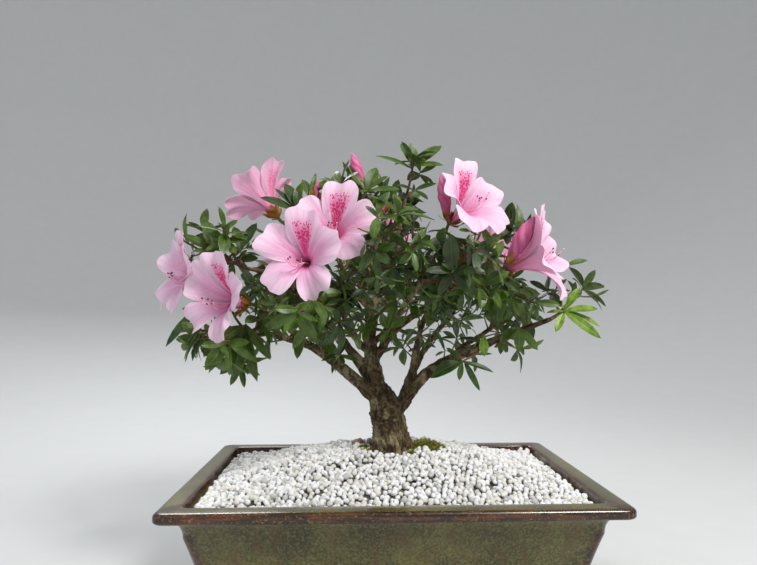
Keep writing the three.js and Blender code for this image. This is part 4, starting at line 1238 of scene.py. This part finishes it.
# %% Shape the petals
PETAL = dict(rows=24, columns=29, tube=0.06, flare=1.6, rise=1.5, free_from=0.4, tube_to=0.5,
             tube_half=36.5, notch=0.055, notch_width=0.17, thick=0.25, fold=0.07, slant=2.2,
             ruffle=1.9, ruffle_grip=3.5, groove=0.8, groove_width=0.13)
FRILLS = [(0.018, 8), (0.009, 15)]
FIFTH = 72
LOBES = [
    # middle angle, half width in degrees, length, how far it bends back, cleft, guide marks
    (0, 42, 1.08, -0.05, 0.45, 1.0),
    (66, 44, 1.04, 0.04, 0.47, 0.16),
    (139, 43, 1.03, 0.15, 0.5, 0),
    (221, 43, 1.03, 0.15, 0.5, 0),
    (294, 44, 1.04, 0.04, 0.47, 0.16),
]


def petal_surface(lobe, radius, depth, chance):
    """The middle skin of one lobe, and the numbers that colour it."""
    p = PETAL
    s, u = np.meshgrid(np.linspace(0, 1, p["rows"]), np.linspace(-1, 1, p["columns"]), indexing="ij")
    middle, half, length, bent, cleft, marked = LOBES[lobe]
    dent = p["notch"] * np.exp(-((u / p["notch_width"]) ** 2)) * chance.uniform(0.3, 1.2)
    cleft = cleft * chance.uniform(0.9, 1.08)
    length = length * chance.uniform(0.94, 1.04)
    frill = sum(size * np.sin(pace * u + chance.uniform(0, 6)) for size, pace in FRILLS)
    reach = s * (1 - cleft * np.abs(u) ** 3 - dent - frill)
    free = np.clip((reach - p["free_from"]) / (1 - p["free_from"]), 0, 1)
    in_tube = 1 - np.clip(reach / p["tube_to"], 0, 1)
    angle = middle + (FIFTH * lobe - middle) * in_tube + (half + (p["tube_half"] - half) * in_tube) * u
    angle = np.radians(angle + chance.uniform(-5, 5) * free)
    fold = chance.uniform(-1.4, 1.4) * np.sin(3.2 * u + chance.uniform(-0.8, 0.8))
    fold = radius * p["fold"] * free * (fold + chance.uniform(-0.8, 0.6) * u**2)
    bend = (bent + chance.uniform(-0.04, 0.06)) * depth * free**2
    waves = [(chance.uniform(0.5, 1.0) / k**0.5, 1.2 + 3.6 * k, chance.uniform(0, 6.3)) for k in (1, 2, 3)]
    ruffle = sum(size * np.sin(pace * u + phase) for size, pace, phase in waves)
    ruffle = p["ruffle"] * s ** p["ruffle_grip"] * np.clip(free * 1.6, 0, 1) * ruffle
    groove = np.clip(reach * 3, 0, 1) * np.exp(-((u / p["groove_width"]) ** 2)) * (1 - 0.6 * free)
    r = radius * (p["tube"] + (length - p["tube"]) * reach ** p["flare"])
    z = depth * (1 - np.clip(1 - reach, 0, 1) ** p["rise"]) - bend + fold + p["slant"] * u * free
    z = z - p["groove"] * groove + ruffle
    surface = np.stack([r * np.cos(angle), r * np.sin(angle), z], -1)
    return surface, {"reach": reach, "edge": s, "across": u, "marked": np.full_like(s, marked)}


def add_skins(pile, surface, thick, values, finish):
    """Turns a grid of points into a thin closed body: two skins and the edge between them."""
    rows, columns = surface.shape[:2]
    normal = np.cross(np.gradient(surface, axis=0), np.gradient(surface, axis=1))
    normal /= np.linalg.norm(normal, axis=-1, keepdims=True) + 1e-9
    skins = [(surface + normal * side * thick / 2).reshape(-1, 3) for side in (1, -1)]
    back = np.repeat([0.0, 1.0], rows * columns)
    both = {key: np.tile(number.ravel(), 2) for key, number in values.items()}
    pile.add(np.vstack(skins), skin_faces(rows, columns).tolist(), finish, back=back, **both)


def flower_frame(base, look, roll):
    """A flower's foot, and the rows for its marked lobe, its side and its look."""
    top = unit(UP - look * look[2])
    side = np.cross(look, top)
    c, s = math.cos(math.radians(roll)), math.sin(math.radians(roll))
    return base, np.stack([top * c - side * s, top * s + side * c, look])


print("A lobe has", PETAL["rows"] * PETAL["columns"] * 2, "points")

# %% [markdown]
# The petals are a pale lilac pink that turns almost white at the ruffled edge and deep rose
# in the throat, and their backs are a warmer pink. The top lobe carries the guide marks for
# insects: a patch of crimson freckles in rows. The numbers on the mesh say where a point lies
# on its lobe, so the freckles are small cells laid out in the lobe's own measure, and keep to
# the middle of the marked lobe.

# %% Mix the petal finish
petal = Finish("azalea_petal", Specular_IOR_Level=0.2, Subsurface_Weight=0.35,
               Subsurface_Scale=0.003, Subsurface_Radius=(1.0, 0.6, 0.75))
reach, across, edge = petal.value("reach"), petal.value("across"), petal.value("edge")
marked, back = petal.value("marked"), petal.value("back")
cloud = petal.noise(70, 3)
veins = petal.node("ShaderNodeMath", {"operation": "SINE"}, [across * 30 + cloud * 6])
grid = petal.node("ShaderNodeCombineXYZ", None, [across * 13, reach * 25, marked])
cells = petal.node("ShaderNodeTexVoronoi", None, {"Vector": grid, "Scale": 1.0, "Randomness": 0.8})
patch = marked * reach.ramp(0.14, 0.3) * (1 - reach.ramp(0.62, 0.9))
patch = patch * (1 - (across * across).ramp(0.04, 0.34))
freckles = (cells < 0.26 + patch * 0.3) * patch.ramp(0.06, 0.3)
colour = petal.coats(
    petal.mix((reach + (cloud - 0.5) * 0.16).ramp(0.02, 0.55), "#d0528a", "#e8abcf"),
    ((edge + (cloud - 0.5) * 0.3).ramp(0.55, 1.0) * 0.7, "#f2d2e8"),
    (veins.ramp(0.3, 1.0) * 0.16, "#d680b0"),
    (patch * 0.8, "#d94483"),
    (freckles * 0.92, "#b3134c"),
    (back * 0.5, "#e693b4"),
)
petal.set("Base Color", colour)
petal.set("Roughness", 0.52 + cloud * 0.16)
petal.bump(veins * 0.4 + petal.noise(600, 2) * 0.4, 0.1)
print("The petal finish has", len(petal.tree.nodes), "nodes")

# %% [markdown]
# Inside the funnel stand the stamens, thin curved threads with a dark anther each, and one
# longer style. Behind it papery bud scales are left at the foot, golden brown, on a short
# green stalk that joins the bough. All of them are part of the flower's own mesh, so a face
# takes one of five finishes by its number.

# %% Build a flower's small parts
PETALS, THREAD, ANTHER, SCALE, STALK = range(5)
STAMEN = dict(count=6, style=1.12, radii=(0.42, 0.3), anther_radii=(0.35, 0.8, 0.3))
SCALES = dict(back=3, out=1.3, into_bud=3)
STALK_WAY = dict(bend=0.3, early=0.6, late=0.5, into=2)
PETAL_VALUES = ("reach", "edge", "across", "marked", "back")


def add_stamens(pile, frame_of, depth, chance):
    """Threads that lean towards the lower lobes and lift their tips. The first is the style."""
    origin, axes = frame_of
    for k in range(STAMEN["count"]):
        spread, lean = chance.uniform(-1, 1), chance.uniform(4, 9)
        rise = depth * (chance.uniform(0.86, 1.0) if k else STAMEN["style"])
        local = np.array([(0.4 * spread, 0.4 * spread, 3), (-1.5, spread * 0.8, depth * 0.4),
                          (-lean, spread * 3.5, rise * 0.78), (-lean + 3.5, spread * 6.0, rise)])
        add_tube(pile, (origin + local @ axes, STAMEN["radii"]), 5, 8, THREAD)
        tip, heading = origin + local[-1] @ axes, unit((local[-1] - local[-2]) @ axes)
        knob = np.array([tip - heading * 0.3, tip + heading * 0.5, tip + heading * 1.5])
        add_tube(pile, (knob, STAMEN["anther_radii"]), 6, 5, ANTHER if k else THREAD)


def add_scales(pile, base, look, count, chance):
    """Pointed papery scales round a flower's foot."""
    for k in range(count):
        out = around(look, [0.2, 0.5, 1], 2 * math.pi * k / count + chance.uniform(-0.3, 0.3))
        axes = leaf_frame(unit(look + out * chance.uniform(0.3, 1.2)), out)
        points, faces, _ = chance.choice(leaf_shapes["oval"])
        foot = base - look * SCALES["back"] + out * SCALES["out"]
        pile.add(foot + points @ axes * chance.uniform(9, 14), faces, SCALE)


def stalk_points(bough, share, base, look):
    """The source's way from a bough to a flower's foot."""
    w = STALK_WAY
    root, _ = along(limbs[bough], share)
    bend = base - look * w["bend"] * np.linalg.norm(base - root)
    return np.array([root, root + (bend - root) * w["early"], bend + (base - bend) * w["late"],
                     base + look * w["into"]])


def fill_values(pile):
    """Gives zeros to the points that have no petal numbers, so that every list is complete."""
    for key in PETAL_VALUES:
        known = sum(len(numbers) for numbers in pile.values.get(key, []))
        pile.values.setdefault(key, []).append(np.zeros(pile.count - known))


thread = plain_finish("stamen_thread", "#e68fb6", "#f7d0e2", 300, 0.5, 0.02)
anther = plain_finish("anther", "#4a1c2e", "#7c3a50", 900, 0.6, 0.05)
scale = plain_finish("bud_scale", "#86501c", "#b9833a", 250, 0.55, 0.15)
flower_finishes = [petal, thread, anther, scale, twig_green]
print("A flower has", len(flower_finishes), "finishes")

# %% [markdown]
# A bud is five petals rolled round each other. Seen from outside it is a spindle with edges
# that wind up it, each lying over the next. So the spindle's radius steps down along winding
# lines, and the colour pales towards each free edge. Scales and a stalk complete it.

# %% Build a bud
BUD = dict(rows=22, columns=45, petals=5, twist=0.8, step=0.2)
BUD_PROFILE = ([0, 0.12, 0.3, 0.55, 0.75, 0.9, 1], [0.25, 0.45, 0.72, 1, 0.82, 0.45, 0.12])


def add_spindle(pile, foot, axis, length, radius):
    """A spindle of rolled petals, widest past its middle."""
    rows, columns = BUD["rows"], BUD["columns"]
    turns = np.linspace(0, 2 * math.pi, columns, endpoint=False)
    t, a = np.meshgrid(np.linspace(0, 1, rows), turns, indexing="ij")
    roll = ((a / (2 * math.pi) + BUD["twist"] * t) * BUD["petals"]) % 1
    r = radius * np.interp(t, *BUD_PROFILE) * (1 - BUD["step"] * roll * np.clip(t * 3, 0, 1))
    local = np.stack([r * np.cos(a), r * np.sin(a), length * t], -1).reshape(-1, 3)
    side = unit(np.cross(axis, [0.3, 1, 0.2]))
    values = {"reach": 0.02 + 0.5 * roll**1.5 * (0.3 + 0.7 * t), "edge": 0.4 * t,
              "across": 2 * roll - 1, "back": np.full_like(t, 0.25), "marked": np.zeros_like(t)}
    first, points = pile.count, foot + local @ np.stack([side, np.cross(axis, side), axis])
    pile.add(points, grid_faces(rows, columns, closed=True), PETALS, **values)
    pile.cap(range(first + columns - 1, first - 1, -1), PETALS)
    pile.cap(range(pile.count - columns, pile.count), PETALS)


def add_bud(pile, shape, scales, stalk, detail, chance):
    """A bud from its foot, axis, length and radius. The detail is its stalk's sides and steps."""
    foot, axis, _, _ = shape
    add_spindle(pile, *shape)
    fill_values(pile)
    add_scales(pile, foot + axis * SCALES["into_bud"], axis, scales, chance)
    add_tube(pile, stalk, *detail, STALK)
    fill_values(pile)


print("A bud's spindle has", BUD["rows"] * BUD["columns"], "points")

# %% [markdown]
# Now each flower is put together, the ten of them from one rule: five lobes, the bud beside
# it if it has one, stamens, scales and a stalk. Each has a seed of its own, so no two are
# ruffled alike. One mesh holds the closed bud at the top and four small ones, which peep
# out between the leaves where the picture shows a touch of pink.

# %% Make every flower and the top bud
FLOWER_SEED, BUD_SEED = 40, 3
FLOWER_SCALES, BUD_SCALES, SMALL_SCALES = 12, 6, 5
SMALL_BUDS = [
    # mass, foot's pixel, tip's pixel, depth, radius
    ("foliage_top_left", (385, 214), (380, 197), -30, 3.2),
    ("foliage_upper_left", (314, 203), (318, 180), -6, 2.6),
    ("foliage_front_right", (462, 262), (446, 243), -60, 3.4),
    ("foliage_front_right", (462, 262), (476, 248), -58, 3.6),
]


def side_bud(pile, base, look, place_and_size, chance):
    """The half-open bud that stands beside a flower."""
    shift, axis, length, radius = place_and_size
    foot, axis = base + np.array(shift), direction(*axis)
    stalk = np.array([base - look * 4, (base + foot) / 2 - look * 2, foot + axis * 2])
    add_bud(pile, (foot, axis, length, radius), BUD_SCALES, (stalk, (1.3, 1.6)), (6, 5), chance)


def make_flower(row, seed):
    """One flower with all its parts, from its row of the table."""
    name, bough, share, at, look, roll, radius, depth = row
    chance = random.Random(seed)
    look = direction(*look)
    base = place(*at) - look * FACE_DEPTH
    frame_of = flower_frame(base, look, roll)
    pile = Pile()
    for lobe in range(len(LOBES)):
        surface, values = petal_surface(lobe, radius, depth, chance)
        add_skins(pile, base + surface @ frame_of[1], PETAL["thick"], values, PETALS)
    if name in SIDE_BUDS:
        side_bud(pile, base, look, SIDE_BUDS[name], chance)
    add_stamens(pile, frame_of, depth, chance)
    add_scales(pile, base, look, FLOWER_SCALES, chance)
    add_tube(pile, (stalk_points(bough, share, base, look), (1.4, 1.3, 1.8)), 7, 14, STALK)
    fill_values(pile)
    make_piece(f"{name}_petals", pile.mesh(name), flower_finishes, [name])


for number, row in enumerate(FLOWERS):
    make_flower(row, FLOWER_SEED + number)

pile, chance = Pile(), random.Random(BUD_SEED)
top_shape = (bud_foot, bud_look, BUD_TOP["length"], BUD_TOP["radius"] - 0.4)
top_stalk = stalk_points(BUD_TOP["bough"], BUD_TOP["share"], bud_foot, bud_look)
add_bud(pile, top_shape, BUD_SCALES, (top_stalk, (1.3, 1.5)), (7, 12), chance)
for mass, foot_pixel, tip_pixel, depth, radius in SMALL_BUDS:
    foot, tip = at_pixel(*foot_pixel, depth), at_pixel(*tip_pixel, depth)
    shape = (foot, unit(tip - foot), np.linalg.norm(tip - foot), radius)
    stalk = np.array([stem_ends[mass], (stem_ends[mass] + foot) / 2, foot])
    add_bud(pile, shape, SMALL_SCALES, (stalk, (1.2, 0.9)), (6, 8), chance)
make_piece("bud_top_petals", pile.mesh("bud_top"), flower_finishes, ["bud_top"])

# %% [markdown]
# The gravel is washed white stone, about 5 mm across. Twelve shapes serve for all of it: each
# is a ball of even triangles that is swelled by noise and flattened on four sides, as water
# wears a stone. The stones will settle on the part's own pebble bed, whose height is found by
# a ray from above.

# %% Shape the stones
STONE = dict(shapes=12, dent=0.35, radius=2.6, spacing=4.65, turn=0.26, nudge=1.1, wall=2.2, sink=1.0,
             trunk_room=18, loose=0.1, loose_room=24, loose_nudge=2, loose_lift=1.9)
STONE_TINTS = {
    "white": ("#d9dadb", "#eff0f1"),
    "ivory": ("#cdcbc4", "#dedcd6"),
    "grey": ("#b0b1b0", "#c8c9c7"),
}
STONE_ODDS = (6, 3, 1.2)
DENTS = dict(grain=1.3, flats=4, flat_at=0.74, flat_cut=0.85)
bed_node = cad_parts["pebble_bed"].data
bed_tree = BVHTree.FromPolygons([v.co for v in bed_node.vertices], [f.vertices for f in bed_node.polygons])


def bed_height(x, y):
    """The height of the part's pebble bed under a point, or None outside it."""
    hit = bed_tree.ray_cast(Vector((x, y, 300)) * MM, Vector((0, 0, -1)))[0]
    return hit.z / MM if hit else None


def icosphere(levels):
    """Points and faces of a ball of even triangles."""
    ball, mesh = bmesh.new(), bpy.data.meshes.new("ball")
    bmesh.ops.create_icosphere(ball, subdivisions=levels, radius=1)
    ball.to_mesh(mesh)
    ball.free()
    points = np.array([v.co for v in mesh.vertices])
    faces = [list(f.vertices) for f in mesh.polygons]
    bpy.data.meshes.remove(mesh)
    return points, faces


def dented_ball(points, chance, depth):
    """A ball with flats and dents, like a water-worn stone."""
    shift = Vector([chance.uniform(0, 50) for _ in range(3)])
    swell = np.array([1 + depth * noise.noise(Vector(p) * DENTS["grain"] + shift) for p in points])
    stone = points * swell[:, None]
    for _ in range(DENTS["flats"]):
        flat = unit(np.array([chance.gauss(0, 1) for _ in range(3)]))
        beyond = np.maximum(0, stone @ flat - DENTS["flat_at"])
        stone = stone - np.outer(beyond * DENTS["flat_cut"], flat)
    return stone


def random_turn(chance):
    """The rows of a random rotation."""
    rows, _ = np.linalg.qr(np.array([[chance.gauss(0, 1) for _ in range(3)] for _ in range(3)]))
    return rows * np.sign(np.linalg.det(rows))


chance = random.Random(8)
ball_points, ball_faces = icosphere(2)
stone_shapes = [dented_ball(ball_points, chance, STONE["dent"]) for _ in range(STONE["shapes"])]
print("A stone has", len(ball_faces), "faces")

# %% [markdown]
# Poured stones lie neither in rows nor in clumps. So they start on a honeycomb that is turned
# a little against the pot, and are nudged, sized and turned at random. Near the trunk there
# are none, and a few loose ones lie on top of the rest.

# %% Heap up the gravel
bed_low, bed_high = (np.array(corner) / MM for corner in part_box("pebble_bed"))
stone_piles = {kind: Pile() for kind in STONE_TINTS}


def add_stone(x, y, lift):
    """One stone on the bed, sunk a little so that the bed's height is the gravel's own."""
    height = bed_height(x, y)
    size = STONE["radius"] * chance.uniform(0.78, 1.1)
    stretch = np.array([chance.uniform(0.92, 1.2), chance.uniform(0.85, 1.05), chance.uniform(0.75, 0.98)])
    points = (stone_shapes[chance.randrange(STONE["shapes"])] * stretch) @ random_turn(chance) * size
    kind = chance.choices(list(STONE_TINTS), STONE_ODDS)[0]
    if height:
        stone_piles[kind].add(points + np.array([x, y, height - STONE["sink"] + lift]), ball_faces)


def heap_stones():
    """A honeycomb of nudged stones, turned on the bed, with a few loose ones on top."""
    step, nudge, loose_nudge = STONE["spacing"], STONE["nudge"], STONE["loose_nudge"]
    reach = math.hypot(*bed_high[:2])
    c, s = math.cos(STONE["turn"]), math.sin(STONE["turn"])
    for i, v in enumerate(np.arange(-reach, reach, step * 0.866)):
        for u in np.arange(-reach + step / 2 * (i % 2), reach, step):
            x, y = (value + chance.uniform(-nudge, nudge) for value in (u * c - v * s, u * s + v * c))
            from_trunk = math.hypot(x - TRUNK[0][0], y - TRUNK[0][1])
            past_wall = max(abs(x) - bed_high[0], abs(y) - bed_high[1]) + STONE["wall"]
            if past_wall < 0 and from_trunk > STONE["trunk_room"]:
                add_stone(x, y, chance.uniform(-0.6, 0.7))
                if chance.random() < STONE["loose"] and from_trunk > STONE["loose_room"]:
                    x, y = (value + chance.uniform(-loose_nudge, loose_nudge) for value in (x, y))
                    add_stone(x, y, STONE["loose_lift"])


heap_stones()
for kind, pile in stone_piles.items():
    stone_finish = plain_finish(f"gravel_{kind}", *STONE_TINTS[kind], 350, 0.6, 0.12)
    make_piece(f"gravel_{kind}", pile.mesh(f"gravel_{kind}"), [stone_finish], ["pebble_bed"])

# %% [markdown]
# Under the stones lies the bed that carries them. Its top follows the heap some three
# millimetres lower, in a mid grey that is painted shade, so that the gaps between stones read
# as shade. Below it is the dark soil, which keeps the part's own mesh and takes a finish only.

# %% Lay the bed under the stones
BED = dict(rows=40, columns=56, margin=0.5, lower=3.2, bare=6)


def bed_mesh():
    """A closed slab whose top follows the heap and whose bottom is flat."""
    margin = BED["margin"]
    y, x = np.meshgrid(np.linspace(bed_low[1] + margin, bed_high[1] - margin, BED["rows"]),
                       np.linspace(bed_low[0] + margin, bed_high[0] - margin, BED["columns"]), indexing="ij")
    heights = [bed_height(a, b) or bed_low[2] + BED["bare"] for a, b in zip(x.ravel(), y.ravel())]
    top = np.stack([x.ravel(), y.ravel(), np.array(heights) - BED["lower"]], -1)
    bottom = np.stack([x.ravel(), y.ravel(), np.full(x.size, bed_low[2])], -1)
    pile = Pile()
    pile.add(np.vstack([top, bottom]), skin_faces(BED["rows"], BED["columns"])[:, ::-1].tolist())
    return pile.mesh("gravel_bed_painted_shade")


# The bed's mid grey is painted shade, seen in the gaps between the stones.
bed = plain_finish("gravel_bed_painted_shade", "#54504a", "#736f67", 300, 0.9, 0.6)
make_piece("gravel_bed_painted_shade", bed_mesh(), [bed], ["pebble_bed"])
soil = plain_finish("soil_crumbs", "#33241a", "#4e3a29", 260, 0.95, 0.9)
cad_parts["soil"].data.materials.clear()
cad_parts["soil"].data.materials.append(soil.material)

# %% [markdown]
# Moss has settled at the trunk's foot, in one patch and a few tufts, with a brown stone on the
# other side. Moss is short shoots by the hundred on a low cushion, so blades are planted all
# over a lump.

# %% Plant the moss
MOSS = dict(middle=(31, 5, 119.5), size=(14, 10, 5.5), blades=1500, tuft_blades=260, dent=0.35)
MOSS_TUFTS = [(24, -9, 5), (39, -3, 5), (17, -17, 3.5), (-20, -10, 4), (-22, 4, 4), (4, 19, 5), (46, 6, 4)]
BLADE = dict(half_width=0.32, length=(1.2, 2.6), wander=(0.7, 0.7, 0.15), foot=0.6, lowest=-0.2)
STONE_CHIP = dict(middle=(-27, 12, 121.5), size=(6.5, 5, 4.2), dent=0.5)
CUSHION, SHOOTS = 0, 1


def add_moss(pile, centre, size, blades, chance):
    """A cushion with short pointed blades standing out of it."""
    points, faces = icosphere(3)
    points = dented_ball(points, chance, MOSS["dent"]) * np.array(size) + centre
    pile.add(points, faces, CUSHION)
    for _ in range(blades):
        p = points[chance.randrange(len(points))]
        lean = np.array([chance.gauss(0, 0.06) for _ in range(3)]) + [0, 0, 0.06]
        out = unit((p - centre) / np.array(size) ** 2 + lean)
        if out[2] > BLADE["lowest"]:
            p = p + np.array([chance.gauss(0, spread) for spread in BLADE["wander"]])
            side = unit(np.cross(out, [0.3, 0.5, 0.1])) * BLADE["half_width"]
            other = np.cross(out, side)
            foot, tip = p - BLADE["foot"] * other, p + out * chance.uniform(*BLADE["length"])
            blade = np.array([foot - side, foot + side, p + other, tip])
            pile.add(blade, [[0, 2, 1], [0, 1, 3], [1, 2, 3], [2, 0, 3]], SHOOTS)


moss_cushion = plain_finish("moss_cushion", "#2b2f12", "#4a4c1e", 400, 0.95, 0.5)
moss_blade = plain_finish("moss_blade", "#5c6520", "#a09a46", 260, 0.85, 0.1)
pile, chance = Pile(), random.Random(21)
add_moss(pile, np.array(MOSS["middle"]), MOSS["size"], MOSS["blades"], chance)
for x, y, r in MOSS_TUFTS:
    middle = np.array([x, y, bed_height(x, y) - 0.5])
    add_moss(pile, middle, (r, r * 0.8, r * 0.5), MOSS["tuft_blades"], chance)
make_piece("moss_tufts", pile.mesh("moss"), [moss_cushion, moss_blade], ["moss"])

pile = Pile()
points, faces = icosphere(3)
stone = dented_ball(points, chance, STONE_CHIP["dent"])
pile.add(stone * STONE_CHIP["size"] + STONE_CHIP["middle"], faces)
chip = plain_finish("brown_stone", "#6b5642", "#94806a", 300, 0.85, 0.5)
make_piece("stone_chip_rough", pile.mesh("stone_chip"), [chip], ["stone_chip"])

# %% [markdown]
# The plant stands on a plain pale floor whose far edge curls up into a wall all round, so no
# horizon shows from any side. Daylight comes from the upper right in front, as in the picture,
# with a wide weak window on the left. A light from behind on the left picks out the rims of
# the petals and leaves.

# %% Set the floor and the lights
FLOOR = dict(radius=1.0, height=2.6, curl=1.8, sides=96)
CROWN = (0, 0, 0.26)
SKY_STRENGTH = 0.6


def floor_mesh():
    """A disc that curls up at its edge, in metres like the lights."""
    angles = np.linspace(0, 2 * math.pi, FLOOR["sides"], endpoint=False)
    curl = np.linspace(0, math.pi / 2, 12)
    out, up = FLOOR["radius"] + FLOOR["curl"] * np.sin(curl), FLOOR["curl"] * (1 - np.cos(curl))
    radii = np.r_[0.02, 0.3, 0.6, 0.8, out, FLOOR["radius"] + FLOOR["curl"]]
    heights = np.r_[0, 0, 0, 0, up, FLOOR["height"]]
    rings = [np.stack([r * np.cos(angles), r * np.sin(angles), np.full(len(angles), h)], -1)
             for r, h in zip(radii, heights)]
    pile = Pile()
    pile.add(np.vstack(rings) / MM, grid_faces(len(rings), len(angles), closed=True)[:, ::-1].tolist())
    pile.cap(range(len(angles)))
    return pile.mesh("floor")


paper = Finish("pale_paper", Roughness=0.9, Specular_IOR_Level=0.1)
paper.set("Base Color", paper.mix(paper.noise(25, 3), "#c9cbcc", "#ced0d1"))
floor = new_object("floor", floor_mesh())
floor.data.materials.append(paper.material)
floor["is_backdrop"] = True


def add_light(name, at, towards, size, power, colour=(1, 1, 1)):
    """A soft square light that looks at a point."""
    data = bpy.data.lights.new(name, "AREA")
    data.size, data.energy, data.color = size, power, colour
    light = new_object(name, data)
    light.location = at
    light.rotation_euler = (Vector(towards) - Vector(at)).to_track_quat("-Z", "Y").to_euler()


add_light("daylight", (0.62, -0.85, 1.2), CROWN, 0.35, 19.5, (1.0, 0.98, 0.95))
add_light("window", (-1.3, -0.8, 0.8), CROWN, 1.2, 3, (0.92, 0.96, 1.0))
add_light("rim_light", (-0.5, 1.1, 1.2), CROWN, 0.6, 12)

world = bpy.data.worlds.new("sky")
world.use_nodes = True
sky = world.node_tree.nodes["Background"].inputs
sky["Color"].default_value = (1.0, 1.0, 1.0, 1)
sky["Strength"].default_value = SKY_STRENGTH
bpy.context.scene.world = world
bpy.context.scene.view_settings.view_transform = "Standard"
print("Lights:", [light.name for light in bpy.data.lights])

# %% [markdown]
# The box of everything that shows is kept beside the part's own box and printed: only tips of
# leaves and petals reach a little past the part.

# %% Gather the sizes and finish
sizes = {"cad": [list(c) for c in cad_box], "visual": [list(c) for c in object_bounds()]}
print("Visual box in metres:", [[round(x, 4) for x in corner] for corner in sizes["visual"]])
